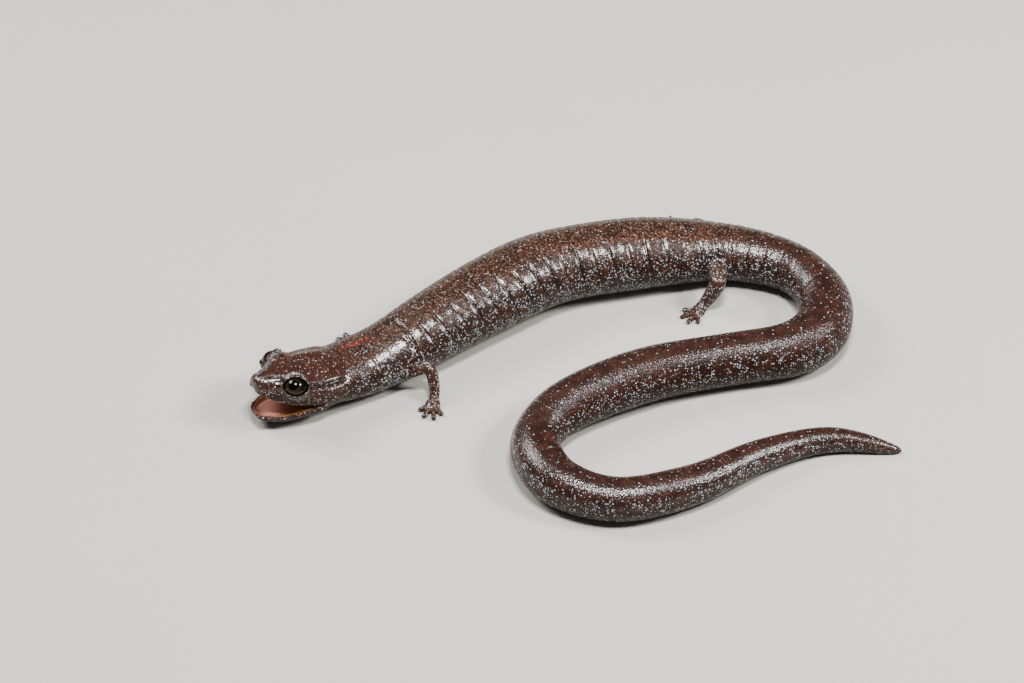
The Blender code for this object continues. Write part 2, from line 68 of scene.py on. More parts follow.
# Body axis in plan, from the nape to the tail tip
BODY_AXIS = (
    (-15.39, -6.07), (-11.2, -3.9), (-7.4, -1.2), (-2.1, 2.8), (3.6, 6.4),
    (10.8, 8.2), (17.9, 9.1), (22.0, 8.6), (25.6, 7.0), (27.6, 4.2),
    (28.0, 1.4), (27.0, -1.5), (24.5, -3.3), (18.9, -4.5), (12.2, -6.3),
    (5.5, -9.7), (2.4, -13.0), (2.2, -16.1), (4.3, -19.3), (9.3, -20.9),
    (15.6, -19.0), (21.7, -15.2), (27.5, -13.1), (33.9, -13.7),
)
AXIS_STEPS = 24
BODY_SAMPLE = 0.1
HEAD_SAMPLES_START = 4.0

# Distance from the snout, half width, half height
BODY_PROFILE = (
    (8.6, 3.12, 2.00), (11.0, 3.14, 2.20), (14.0, 3.18, 2.50),
    (18.0, 3.37, 2.90), (22.0, 3.55, 3.10), (27.0, 3.68, 3.24),
    (33.0, 3.57, 3.14), (40.0, 3.47, 3.05), (43.5, 3.18, 2.80),
    (47.0, 2.80, 2.50), (51.0, 2.54, 2.33), (55.0, 2.30, 2.18),
    (59.0, 2.38, 2.28), (64.0, 2.58, 2.52), (68.0, 2.42, 2.38),
    (74.0, 2.37, 2.36), (82.0, 2.46, 2.46), (88.0, 2.32, 2.32),
    (92.0, 2.14, 2.14), (96.0, 2.24, 2.24), (101.0, 2.02, 2.02),
    (108.0, 1.87, 1.87), (115.0, 1.58, 1.58), (121.0, 1.27, 1.27),
    (125.0, 1.06, 1.06), (128.0, 0.72, 0.72), (130.0, 0.34, 0.34),
)
BELLY_FLAT = 0.12
NAPE_LIFT = 0.28
NAPE_LIFT_RUN = 3.5
TAIL_START = 49.0

# Grooves between the ribs, finer and deeper than in the solids
FIRST_GROOVE = 15.5
GROOVE_SPACING = 1.65
NECK_FOLDS_START = 9.4
LAST_GROOVE = 66.0
GROOVE_HALF_WIDTH = 0.11
GROOVE_LEAN = 0.75
LEAN_RUN = 2.5
GROOVE_SIDE_START = 0.15
OUTER_SIDE_FADE = 0.6
RIB_SWELL = 0.055
BACK_FURROW_DEPTH = 0.07
BACK_FURROW_WIDTH = 0.18

# Section of the body: squarer at the nape, an ellipse behind the run
NAPE_POWER = 2.25
BODY_POWER = 2.0
NAPE_POWER_RUN = 5.0

# Head outline by distance behind the snout: half width, roof, throat height
HEAD_PROFILE = (
    (0.20, 0.34, 0.88, -0.30), (0.32, 0.60, 1.00, -0.55), (0.60, 0.92, 1.20, -0.85),
    (1.00, 1.20, 1.36, -1.15), (1.70, 1.62, 1.54, -1.50), (2.50, 2.04, 1.68, -1.80),
    (3.40, 2.44, 1.79, -2.00), (4.50, 2.76, 1.90, -2.15), (5.60, 2.98, 1.98, -2.22),
    (6.60, 3.08, 2.00, -2.20), (7.60, 3.12, 2.00, -2.10), (8.60, 3.12, 2.00, -2.00),
)
# Height of the widest part of the closed head
CHEEK_LINE = ((0.0, 0.62), (1.7, 0.42), (3.4, 0.22), (5.6, 0.05), (7.4, 0.0), (8.6, 0.0))
UPPER_LIP = (
    (0.0, 0.10), (0.6, -0.18), (1.7, -0.66), (2.6, -0.93), (3.4, -0.97), (4.8, -0.98), (6.0, -1.08),
)
HEAD_POWER = 2.25
SNOUT_TIP = 0.20
SNOUT_ROUND = 0.90

# Lower jaw by distance behind the snout: half width, lip edge, chin height
JAW_PROFILE = (
    (0.75, 0.50, -2.48, -2.84), (0.90, 0.82, -2.45, -3.00), (1.20, 1.20, -2.38, -3.12),
    (1.70, 1.62, -2.28, -3.20), (2.60, 2.04, -2.18, -3.22), (3.60, 2.38, -1.92, -3.08),
    (4.60, 2.66, -1.56, -2.84), (5.70, 2.90, -1.28, -2.52), (6.60, 2.75, -1.12, -2.24),
    (7.40, 2.40, -0.95, -1.80), (8.30, 1.90, -0.60, -1.30),
)
JAW_POWER = 2.3
JAW_START = 0.72
JAW_LIP_START = 0.8
JAW_ROUND = 0.70
JAW_TIP_DROP = 0.10
JAW_BLEND = 0.30

# Mouth: its corner, the arch of the palate, the floor and the tongue's mound
MOUTH_END = 6.15
MOUTH_CORNER = 3.95
MOUTH_CORNER_BOW = 0.75
ARCH_WIDTH = 0.84
PALATE_RISE = 0.55
MOUTH_FLOOR_DEPTH = 0.42
TONGUE_MIDDLE = 2.8
TONGUE_LENGTH = 1.5
TONGUE_HEIGHT = 0.30

# Rolls along the lips: middle over the lip's edge, reach, and where each ends
UPPER_LIP_ROLL = (0.13, 0.13, 5.6)
LOWER_LIP_ROLL = (-0.14, 0.12, 5.4)
LIP_ROLL_HEIGHT = 0.05

# Eyes, in the head's own directions: behind the snout, beside and above the axis
EYE_PLACE = (3.3, 2.05, 0.84)
EYE_RADIUS = 1.10
EYE_CLEARANCE = 0.012
LID_OPENING_AXIS = (-0.43, 0.65, 0.63)
GAZE_AXIS = (-0.54, 0.50, 0.68)
LID_THICKNESS = 0.17
SOCKET_BLEND = 0.38
# The lids' opening: half length, half height and the power of its curve, above and below
UPPER_LID = (1.20, 0.82, 0.72)
LOWER_LID = (1.16, 0.90, 0.62)
OPENING_SHIFT = 0.03
OPENING_TILT = -0.28
# Round the opening: how far from its rim, reach, height, least depth along the axis, and off the eye
LID_RIM = (0.13, 0.10, 0.055, 0.20, 0.60)
LID_FOLD = (0.36, 0.07, -0.045, 0.15, 0.80)
NOSTRIL = (0.52, 0.78, 0.84)
NOSTRIL_RADIUS = 0.14

# Lines on the head's side, in the head's own directions
SNOUT_RIDGE = ((0.75, 0.40, 1.28), (1.5, 0.70, 1.50), (2.3, 1.20, 1.70))
BROW_ANGLES = (-32.0, 0.0, 30.0, 52.0, 70.0)
BROW_ABOVE_OPENING = 64.0
BROW_OFF_EYE = 1.30
BROW_THICKNESS = (0.08, 0.13, 0.17, 0.20, 0.20, 0.15, 0.09, 0.03)
SNOUT_HOLLOW = ((0.9, 0.90, 0.84), (1.6, 1.34, 0.92), (2.2, 1.70, 0.94))
LIP_GROOVE = (NOSTRIL, (0.58, 0.92, 0.45), (0.66, 1.00, 0.05))
# Seen from the side: behind and above
CHEEK_GROOVE = ((4.45, 0.98), (5.2, 0.95), (5.9, 0.98), (6.5, 1.05), (7.2, 1.10), (8.0, 1.20), (8.6, 1.28))
CHEEK_GROOVE_WIDTH = 0.10

# Swellings of the head, dents as negative heights: middle, reach, height
JAW_MUSCLE = ((5.6, 2.5, 0.1), (1.5, 0.9, 0.8), 0.10)
CROWN_MUSCLE = ((5.6, 1.05, 0.0), (1.6, 0.7, math.inf), 0.10)
CHEEK_DENT = ((1.9, 1.95, 0.62), (0.8, 0.5, 0.45), -0.09)
THROAT_FOLD = 7.55

# Legs: joints from the root to the palm, with the limb's radius at each
LEGS = {
    "foreleg_left": (
        (-10.2, -4.3, 1.7, 0.62), (-8.9, -5.9, 2.2, 0.52), (-7.4, -6.0, 2.75, 0.50),
        (-6.9, -6.6, 1.7, 0.50), (-6.8, -7.3, 0.72, 0.42), (-6.95, -8.1, 0.42, 0.36),
    ),
    "foreleg_right": (
        (-11.2, -3.4, 1.5, 0.62), (-12.0, -1.8, 1.5, 0.52), (-12.5, -0.65, 1.2, 0.50),
        (-12.95, -0.25, 0.82, 0.46), (-13.4, -0.15, 0.58, 0.40), (-13.95, -0.2, 0.42, 0.36),
    ),
    "hindleg_left": (
        (18.3, 7.6, 2.3, 0.90), (18.45, 6.0, 2.9, 0.78), (18.4, 4.4, 2.95, 0.72),
        (17.9, 4.3, 1.7, 0.64), (17.35, 4.2, 0.75, 0.52), (16.7, 3.6, 0.42, 0.42),
    ),
    "hindleg_right": (
        (18.0, 10.9, 2.0, 0.90), (17.6, 12.4, 1.8, 0.76), (17.0, 13.5, 1.5, 0.64),
        (16.4, 14.0, 1.0, 0.56), (15.9, 14.3, 0.60, 0.48), (15.1, 14.6, 0.42, 0.42),
    ),
}
LEG_BLEND = 0.38
LEG_REACH = 2.2
# Toes: angle from the foot's own line, length
TOES = ((-52.0, 0.85), (-18.0, 1.20), (14.0, 1.25), (46.0, 0.95))
TOE_RADIUS = 0.25
KNUCKLE_SHARE = 0.62
KNUCKLE_RISE = 0.05
PALM_SIZE = (0.62, 0.70, 0.34)
SOLE = 0.05

# Lengths of the skin: where they are sewn, and the size of their mesh
SEAMS = (8.3, 15.2, 44.5, 48.7)
SEAM_GAP = 0.10
CUT_REACH = 3.6
OVERRUN = 0.35
HEAD_BLOCK = ((-0.25, -3.5, -3.6), (SEAMS[0] + 0.5, 3.5, 2.9))
LEG_BLOCK_HEIGHTS = (-0.3, 7.0)
HEAD_MESH = 0.084
LEG_MESH = 0.112
TRUNK_SIDES = 76
TAIL_SIDES = 50
TRUNK_RINGS = 0.30
TAIL_RINGS = 0.36
TIP_ROUND = 0.7
PINCH = 0.001
RELAX_WEIGHT = 0.12
SEAM_RELAX_WEIGHT = 0.5
SEAM_RELAX_REACH = 0.35
RELAX_ROUNDS = 3

# Markings by distance behind the snout and angle round the body: middle and reach of each
RUST_PATCHES = ((42.0, 5.0, 74.0, 9.0), (33.5, 3.2, 75.0, 5.0))
NAPE_BLAZE = (8.9, 12.9)
NAPE_BLAZE_ANGLE = (101.0, 5.5)
TAIL_COLOUR_RUN = (40.0, 58.0)

# Eyeballs
CORNEA_RISE = 0.05
CORNEA_ANGLE = 0.55

# Patterns in the skin: smooth noises by size in each millimetre and detail
SKIN_NOISES = {"broad": (0.9, 3.0), "fine": (5.0, 4.0), "density": (1.6, 2.0), "jitter": (7.0, 2.0)}
SKIN_MARKS = (
    "head", "tail", "back", "belly_and_shade", "limb", "rust", "nape", "groove", "dust",
    "lip", "lid_rim_and_shade", "brow_silver_and_highlight", "lining", "corner", "tongue", "wet", "film",
)
# How far the jitter pulls patterns out of round, the granules' size and the flecks' tints, in millimetres
RAGGED = 0.11
GRANULE = 0.17
FLECK_CLOUD = 0.6
# Specks of pigment: spacing, size and softness of the edge, in millimetres
DUST = (0.19, 0.085, 0.6)
GOLD = (0.22, 0.08, 0.6)

# Coats of colour from the lowest up: colour, strength, and what the strength is multiplied by.
# Each is a mark or a pattern, or its smooth step from one value to another, between two shares.
SKIN_COATS = (
    ("tail_colour", 1.0, ("tail",)),
    ("dark_colour", 1.0, (("broad", 0.62, 0.38),)),
    ("#401E14", 0.55, ("head",)),
    ("back_colour", 0.7, ("back", ("fine", 0.48, 0.66))),
    # Darker lower flank and belly: partly the skin's own tone, partly painted shade that offsets light
    # thrown up by the pale floor.
    ("#20120D", 0.75, ("belly_and_shade",)),
    ("#5C3B2A", 0.45, ("limb",)),
    ("#96563A", 0.6, ("rust", ("fine", 0.50, 0.60))),
    ("#8E3626", 0.7, ("nape", ("fine", 0.32, 0.55))),
    ("#1A0D08", 0.7, (("granules", 0.30, 0.70),)),
    # Painted shade in the grooves between the ribs and in the groove behind the eye.
    ("#0E0705", 1.0, (("groove", 0.22, 0.75),)),
    ("fleck_colour", 0.85, ("dust_specks", ("groove", 0.75, 0.22))),
    ("#BCA284", 0.6, ("gold_specks",)),
    # Dark rims round the lids: the lower rim the skin's own colour, the upper rim painted shade under the
    # brow.
    ("#22140E", 0.6, ("lid_rim_and_shade",)),
    # A pale line along the brow ridge: partly silver pigment, partly a painted highlight.
    ("fleck_colour", 0.18, ("brow_silver_and_highlight", ("fine", 0.36, 0.60))),
    ("mouth_colour", 1.0, ("lining",)),
)
MOUTH_COATS = (("#8A5E22", 1.0, ("corner",)), ("#A87464", 1.0, ("tongue",)))
EYE_COATS = (
    ("#2C2013", 1.0, (("rays", 0.38, 0.62), ("height", 0.05, -0.22, 0.5, 1.25))),
    # Dark outer iris: partly its own colour, partly painted shade from the lids.
    ("#080605", 1.0, (("off", 0.60, 0.84),)),
    ("#362715", 1.0, (("off", 0.46, 0.50), ("off", 0.60, 0.52), ("height", 0.05, -0.22, 0.3, 1.0))),
    ("#030303", 1.0, (("off", 0.475, 0.455),)),
)

# Stage, in metres, watts and degrees
FLOOR_SIZE = 3.0
ROOM_LIGHT = 0.12
LIGHTS = {
    "top_softbox": ((0.02, -0.06, 0.29), (0.072, 0.052), 1.40),
    "right_softbox": ((0.20, -0.02, 0.19), (0.06, 0.06), 0.85),
    "left_softbox": ((-0.205, 0.10, 0.21), (0.13, 0.12), 0.90),
}
CAMERA_DISTANCE = 0.37
CAMERA_TILT = 45.0
CAMERA_SENSOR = 36.0
CAMERA_LENS = 145.69
CAMERA_NEAREST = 0.01


def to_linear(hex_colour):
    """Red, green and blue in linear light from an sRGB hex value."""
    parts = [int(hex_colour[i:i + 2], 16) / 255.0 for i in (1, 3, 5)]
    return tuple(c / 12.92 if c <= 0.04045 else ((c + 0.055) / 1.055) ** 2.4 for c in parts)


def ease(t):
    """0 to 1 with level ends, for t from 0 to 1."""
    t = np.clip(t, 0.0, 1.0)
    return t * t * (3.0 - 2.0 * t)


def bump_at(value, middle, width):
    """A smooth hill of height 1 round one value."""
    return np.exp(-((value - middle) / width) ** 2)


def swelling(points, middle, reach, height):
    """A smooth hill round a place, with its own reach in each direction."""
    return height * np.exp(-np.sum(((points - np.array(middle)) / np.array(reach)) ** 2, axis=1))


def soft_min(a, b, blend):
    """The lower of two fields, rounded where they meet."""
    h = np.clip(0.5 + 0.5 * (b - a) / blend, 0.0, 1.0)
    return b + (a - b) * h - blend * h * (1.0 - h)


def soft_max(a, b, blend):
    """The higher of two fields, rounded where they meet."""
    return -soft_min(-a, -b, blend)


def read_table(table, where):
    """Each column of a table at many places, along a smooth curve."""
    rows = np.array(table)
    places = rows[:, 0]
    values = rows[:, 1:]
    slopes = np.gradient(values, places, axis=0)
    where = np.clip(np.asarray(where, dtype=float), places[0], places[-1])
    i = np.clip(np.searchsorted(places, where) - 1, 0, len(places) - 2)
    run = (places[i + 1] - places[i])[..., None]
    t = (where - places[i])[..., None] / run
    found = values[i] * (2 * t ** 3 - 3 * t ** 2 + 1)
    found = found + slopes[i] * run * (t ** 3 - 2 * t ** 2 + t)
    found = found + values[i + 1] * (3 * t ** 2 - 2 * t ** 3)
    found = found + slopes[i + 1] * run * (t ** 3 - t ** 2)
    return np.moveaxis(found, -1, 0)


def head_axes():
    """Directions back along the head, to its left side, and up from its roof."""
    yaw, pitch, roll = np.radians((HEAD_YAW, HEAD_PITCH, HEAD_ROLL))
    back = np.array((math.cos(yaw) * math.cos(pitch), math.sin(yaw) * math.cos(pitch), -math.sin(pitch)))
    level = np.array((math.sin(yaw), -math.cos(yaw), 0.0))
    upright = np.cross(level, back)
    upright = upright * np.sign(upright[2])
    left = level * math.cos(roll) + upright * math.sin(roll)
    up = upright * math.cos(roll) - level * math.sin(roll)
    return np.array((back, left, up))


HEAD_AXES = head_axes()


def head_to_drawing(places):
    """Drawing places from places behind, beside and above the head's start."""
    return np.array(HEAD_START) + np.asarray(places) @ HEAD_AXES


def drawing_to_head(points):
    """Behind, beside and above the head's start, from drawing places."""
    return (np.asarray(points) - np.array(HEAD_START)) @ HEAD_AXES.T


def curve_point(four, t):
    """A point between the second and third of four knots of a Catmull-Rom curve."""
    a, b, c, d = four
    return 0.5 * (2 * b + (c - a) * t + (2 * a - 5 * b + 4 * c - d) * t ** 2
                  + (3 * b - a - 3 * c + d) * t ** 3)


def smooth_path(points, steps, before=None):
    """Closely spaced points on a smooth curve through the given ones."""
    knots = [np.array(p, dtype=float) for p in points]
    first = 2 * knots[0] - knots[1] if before is None else before
    knots = [first] + knots + [2 * knots[-1] - knots[-2]]
    path = []
    for i in range(1, len(knots) - 2):
        path += [curve_point(knots[i - 1:i + 3], k / steps) for k in range(steps)]
    path.append(knots[-2])
    return np.array(path)


def unit_rows(rows):
    """Each row as a direction of length 1."""
    return rows / np.linalg.norm(rows, axis=1)[:, None]


def trace_body():
    """Samples along the head and body: distance, centre, direction, left and up."""
    yaw = math.radians(HEAD_YAW)
    first_run = np.linalg.norm(np.subtract(BODY_AXIS[1], BODY_AXIS[0]))
    before = np.array(BODY_AXIS[1]) - 2.0 * first_run * np.array((math.cos(yaw), math.sin(yaw)))
    plan = smooth_path(BODY_AXIS, AXIS_STEPS, before)
    runs = np.linalg.norm(np.diff(plan, axis=0), axis=1)
    plan_distance = HEAD_LENGTH + np.concatenate([[0.0], np.cumsum(runs)])
    distance = np.arange(HEAD_LENGTH, plan_distance[-1], BODY_SAMPLE)
    half_height = read_table(BODY_PROFILE, distance)[1]
    rest = BELLY_FLAT * np.minimum(1.0, half_height)
    past = np.minimum((distance - HEAD_LENGTH) / NAPE_LIFT_RUN, 1.0)
    height = half_height - rest + NAPE_LIFT * (1.0 - past) ** 2
    x = np.interp(distance, plan_distance, plan[:, 0])
    y = np.interp(distance, plan_distance, plan[:, 1])
    centre = np.stack((x, y, height), axis=1)
    turn = ease((distance - HEAD_LENGTH) / NAPE_LIFT_RUN)[:, None]
    along = unit_rows(np.gradient(centre, distance, axis=0))
    along = unit_rows(HEAD_AXES[0] * (1.0 - turn) + along * turn)
    level = np.stack((along[:, 1], -along[:, 0], np.zeros(len(along))), axis=1)
    left = HEAD_AXES[1] * (1.0 - turn) + level * turn
    left = unit_rows(left - along * np.sum(left * along, axis=1)[:, None])
    up = np.cross(along, left)
    up *= np.sign(up[:, 2])[:, None]
    inside = np.arange(HEAD_SAMPLES_START, HEAD_LENGTH - BODY_SAMPLE / 2, BODY_SAMPLE)
    head_centre = head_to_drawing(np.stack((inside, 0 * inside, 0 * inside), axis=1))
    body = {"distance": np.concatenate((inside, distance)), "centre": np.concatenate((head_centre, centre))}
    for name, start, rows in zip(("along", "left", "up"), HEAD_AXES, (along, left, up)):
        body[name] = np.concatenate((np.tile(start, (len(inside), 1)), rows))
    return body


BODY = trace_body()
BODY_END = BODY["distance"][-1]


def body_at(distance):
    """Centre, direction, left and up of the body at distances from the snout."""
    found = []
    for key in ("centre", "along", "left", "up"):
        row = [np.interp(distance, BODY["distance"], BODY[key][:, k]) for k in range(3)]
        found.append(np.array(row))
    return found


def to_body(points, first, last):
    """Distance from the snout, and offsets to the left and up, of many points."""
    chosen = (BODY["distance"] > first) & (BODY["distance"] < last)
    centre = BODY["centre"][chosen]
    distance = BODY["distance"][chosen]
    found = np.empty((3, len(points)))
    chunk = 40000
    for start in range(0, len(points), chunk):
        part = points[start:start + chunk]
        gap = part @ centre.T * -2.0 + np.sum(centre * centre, axis=1)
        nearest = np.argmin(gap, axis=1)
        off = part - centre[nearest]
        ahead, left, up = (
            np.sum(off * BODY[key][chosen][nearest], axis=1) for key in ("along", "left", "up"))
        ahead = distance[nearest] + np.clip(ahead, -BODY_SAMPLE, BODY_SAMPLE)
        found[:, start:start + chunk] = (ahead, left, up)
    return found


def groove(distance, side, top):
    """How deep the skin folds in between the ribs, 0 to 1, and how far each rib falls off to its edges.

    Side and top are the cosine and sine of the angle round the body. Sines of a groove's
    number give each one its own waver, width, depth and start on the back. On the right,
    the outer side of the bend, the skin is stretched and the folds are shallow.
    """
    leaned = distance - FIRST_GROOVE + GROOVE_LEAN * np.maximum(top, 0.0)
    count = np.round(leaned / GROOVE_SPACING)
    off = leaned - GROOVE_SPACING * count
    waver = 0.07 * top * np.sin(count * 2.4) + 0.03 * np.sin(4.0 * top + count)
    half_width = GROOVE_HALF_WIDTH * (1.0 + 0.25 * np.sin(count * 1.7 + 1.0))
    notch = np.exp(-np.abs((off - waver) / half_width) ** 1.4)
    fade = 1.0 - 0.7 * ease((distance - TAIL_START) / 9.0)
    fade = fade * ease((LAST_GROOVE - distance) / 5.0) * ease((distance - NECK_FOLDS_START) / 1.0)
    fade = fade * (0.5 + 0.5 * ease(distance - FIRST_GROOVE + 1.3))
    outer = ease(-4.0 * side) * ease((TAIL_START - distance) / 4.0)
    fade = fade * (1.0 - OUTER_SIDE_FADE * outer)
    side_start = GROOVE_SIDE_START + 0.06 * np.sin(count * 5.1 + np.sign(side))
    flank = ease((np.abs(side) - side_start) / 0.24) * (1.0 - 0.6 * ease((-top - 0.5) / 0.4))
    strength = 0.82 + 0.18 * np.sin(count * 3.3 + 2.0 * np.sign(side))
    fall = np.abs(2.0 * off / GROOVE_SPACING) ** 3
    # The first value also gives the share of painted shade in each groove.
    return notch * strength * fade * flank, fall * fade * flank


def back_furrow(distance, side, top):
    """The shallow furrow along the middle of the back."""
    across = bump_at(side, 0.0, BACK_FURROW_WIDTH) * (top > 0.0)
    along = ease((distance - 11.0) / 4.0) * ease((52.0 - distance) / 8.0)
    return BACK_FURROW_DEPTH * across * along


def drawn_in(distance, side, top, depth):
    """How far the skin lies inside the plain round body, for the grooves, the ribs and the back's furrow."""
    notch, fall = groove(distance, side, top)
    return depth * notch + RIB_SWELL * fall + back_furrow(distance, side, top)


def rounded(offsets, radii, power):
    """Size of a rounded form at many points, 1 on its surface."""
    return sum(np.abs(off / radius) ** power for off, radius in zip(offsets, radii)) ** (1.0 / power)


def rounded_field(offsets, size):
    """Distance from a rounded form, about."""
    long = np.sqrt(sum(off ** 2 for off in offsets)) + TINY
    return long * (1.0 - 1.0 / (size + TINY))


def body_field(points, first, last, depth):
    """Signed distance from the skin of a stretch of the body, about, in millimetres, with flat ends."""
    distance, left, up = to_body(points, first - 1.5, last + 1.5)
    half_width, half_height = read_table(BODY_PROFILE, distance)
    power = NAPE_POWER + (BODY_POWER - NAPE_POWER) * ease((distance - HEAD_LENGTH) / NAPE_POWER_RUN)
    size = rounded((left, up), (half_width, half_height), power)
    side = left / half_width / (size + TINY)
    top = up / half_height / (size + TINY)
    skin = rounded_field((left, up), size) + drawn_in(distance, side, top, depth)
    return np.maximum(skin, np.maximum(first - OVERRUN - distance, distance - last - OVERRUN))


def capsule(points, start, end, start_radius, end_radius):
    """Distance from a tapered rod between two points."""
    run = end - start
    t = np.clip((points - start) @ run / (run @ run), 0.0, 1.0)
    nearest = start + t[:, None] * run
    return np.linalg.norm(points - nearest, axis=1) - (start_radius + t * (end_radius - start_radius))


def tube(points, path, blend):
    """Distance from a soft line of tapered rods; a path's fourth value is the radius."""
    field = np.full(len(points), FAR)
    for near, far in zip(path, path[1:]):
        field = soft_min(field, capsule(points, near[:3], far[:3], near[3], far[3]), blend)
    return field


def path_distance(points, path):
    """Distance of many points from a line of straight pieces."""
    found = np.full(len(points), FAR)
    for near, far in zip(path, path[1:]):
        found = np.minimum(found, capsule(points, near, far, 0.0, 0.0))
    return found


def leg_field(points, joints, mirrored):
    """Distance from a leg with its foot and toes."""
    field = tube(points, smooth_path(joints, 4), 0.10)
    palm = np.array(joints[-1][:3])
    ahead = palm - np.array(joints[-2][:3])
    heading = math.atan2(ahead[1], ahead[0])
    local = points - np.array((palm[0], palm[1], PALM_SIZE[2] - SOLE))
    cos = math.cos(heading)
    sin = math.sin(heading)
    turned = local @ np.array(((cos, -sin, 0.0), (sin, cos, 0.0), (0.0, 0.0, 1.0)))
    size = np.linalg.norm(turned / np.array(PALM_SIZE), axis=1)
    field = soft_min(field, (size - 1.0) * PALM_SIZE[2] * 1.2, 0.22)
    root = np.array((palm[0], palm[1], TOE_RADIUS - SOLE * 0.5))
    for angle, length in TOES:
        turn = heading + math.radians(-angle if mirrored else angle)
        way = np.array((math.cos(turn), math.sin(turn), 0.0)) * (length + PALM_SIZE[0] * 0.6)
        knuckle = root + way * KNUCKLE_SHARE + np.array((0.0, 0.0, KNUCKLE_RISE))
        toe = ((*root, TOE_RADIUS), (*knuckle, TOE_RADIUS * 0.86), (*(root + way), TOE_RADIUS * 0.92))
        field = soft_min(field, tube(points, np.array(toe), 0.05), 0.12)
    return field


def upper_lip(behind):
    """Height of the upper lip's edge."""
    return read_table(UPPER_LIP, behind)[0]


def lower_lip(behind):
    """Height of the lower lip's edge."""
    return read_table(JAW_PROFILE, np.maximum(behind, JAW_LIP_START))[1]


def palate_height(behind, beside, half_width):
    """Height of the roof of the mouth over the head's axis."""
    across = np.clip(1.0 - (beside / (ARCH_WIDTH * half_width)) ** 2, 0.0, 1.0)
    return upper_lip(behind) + PALATE_RISE * np.minimum(half_width / 2.0, 1.0) * across ** 1.3


def tongue_mound(behind, beside, half_width, run):
    """The tongue's mound, 0 to 1, with soft sides."""
    along = np.exp(-((behind - TONGUE_MIDDLE) / TONGUE_LENGTH) ** 4)
    return along * ease((half_width - np.abs(beside)) / run)


def floor_height(behind, beside, half_width):
    """Height of the floor of the mouth, with the tongue's mound."""
    across = np.clip(1.0 - (beside / (ARCH_WIDTH * half_width)) ** 2, 0.0, 1.0)
    sunk = MOUTH_FLOOR_DEPTH * ease((behind - 0.7) / 0.7) * across ** 0.8
    return lower_lip(behind) - sunk + TONGUE_HEIGHT * tongue_mound(behind, beside, 0.62 * half_width, 0.45)


def skull_field(behind, beside, above):
    """Distance from the closed head, without mouth or eyes."""
    place = np.maximum(behind, SNOUT_ROUND)
    half_width, roof, throat = read_table(HEAD_PROFILE, place)
    cheek = read_table(CHEEK_LINE, place)[0]
    high = above - cheek
    tall = np.where(high > 0.0, roof - cheek, cheek - throat)
    offsets = (beside, high, np.maximum(SNOUT_ROUND - behind, 0.0))
    return rounded_field(offsets, rounded(offsets, (half_width, tall, SNOUT_ROUND - SNOUT_TIP), HEAD_POWER))


def jaw_field(behind, beside, above):
    """Distance from the lowered jaw, its top flat at the lip's edge."""
    start = JAW_START + JAW_ROUND
    half_width, lip, chin = read_table(JAW_PROFILE, np.maximum(behind, start))
    slide = np.maximum(start - behind, 0.0)
    lip = lip - JAW_TIP_DROP * slide
    offsets = (beside, above - lip, slide)
    below = rounded_field(offsets, rounded(offsets, (half_width, lip - chin, JAW_ROUND), JAW_POWER))
    return soft_max(below, above - lip - 0.02, 0.10)


def mouth_field(behind, beside, above):
    """Distance from the open space between the jaws."""
    upper_width = read_table(HEAD_PROFILE, behind)[0]
    lower_width = read_table(JAW_PROFILE, np.maximum(behind, JAW_LIP_START))[0]
    palate = palate_height(behind, beside, upper_width)
    floor = floor_height(behind, beside, lower_width)
    lip = upper_lip(behind)
    jaw_lip = lower_lip(behind)
    middle = (above - 0.5 * (lip + jaw_lip)) / np.maximum(0.5 * (lip - jaw_lip), 0.15)
    edge = MOUTH_CORNER + MOUTH_CORNER_BOW * (1.0 - np.clip(middle, -1.0, 1.0) ** 2)
    inner = ease((upper_width - 0.20 - np.abs(beside)) / 0.30)
    deepest = edge + (MOUTH_END - edge) * inner
    space = soft_max(above - palate, floor - above, 0.12)
    return soft_max(space, (behind - deepest) * 0.8, 0.25)


def lid_axes():
    """The axis of the left lids' opening, with the way along the head and up."""
    axis = np.array(LID_OPENING_AXIS)
    axis /= np.linalg.norm(axis)
    along = np.array((1.0, 0.0, 0.0)) - axis * axis[0]
    along /= np.linalg.norm(along)
    rise = np.cross(along, axis)
    return axis, along, rise * np.sign(rise[2])


LID_AXES = lid_axes()


def lid_opening(points):
    """Distance inside the almond that the left lids leave open, and depth along its axis."""
    axis, along, rise = LID_AXES
    local = points - np.array(EYE_PLACE)
    x = local @ along - OPENING_SHIFT
    y = local @ rise
    x, y = x + OPENING_TILT * y, y - OPENING_TILT * x
    above, below = (
        high * np.clip(1.0 - (x / half_length) ** 2, 0.0, 1.0) ** power
        for half_length, high, power in (UPPER_LID, LOWER_LID))
    return np.where(y > 0.0, y - above, -y - below), local @ axis


def brow_path():
    """The ridge from the snout's corner, over the left eye and down behind it, with its radius."""
    axis, along, rise = LID_AXES
    rows = [np.array(place) for place in SNOUT_RIDGE]
    tilt = math.radians(BROW_ABOVE_OPENING)
    for angle in BROW_ANGLES:
        turn = math.radians(angle)
        across = rise * math.cos(turn) + along * math.sin(turn)
        rows.append(np.array(EYE_PLACE) + BROW_OFF_EYE * (axis * math.cos(tilt) + across * math.sin(tilt)))
    return smooth_path(np.column_stack((rows, BROW_THICKNESS)), 3)


BROW_PATH = brow_path()


def cheek_line(points):
    """Distance from the groove behind the eye, seen from the side, and how far it shows."""
    behind, beside, above = points.T
    off = path_distance(np.stack((behind, above), axis=1), smooth_path(CHEEK_GROOVE, 3))
    shown = ease((np.abs(beside) - 1.5) / 0.5) * ease((8.2 - behind) / 0.9) * ease((behind - 4.2) / 0.3)
    return off, shown


def lip_roll(behind, height, roll):
    """How much of a lip's roll stands at a height over its edge, 0 to 1."""
    middle, reach, end = roll
    return bump_at(height, middle, reach) * ease(end - behind)


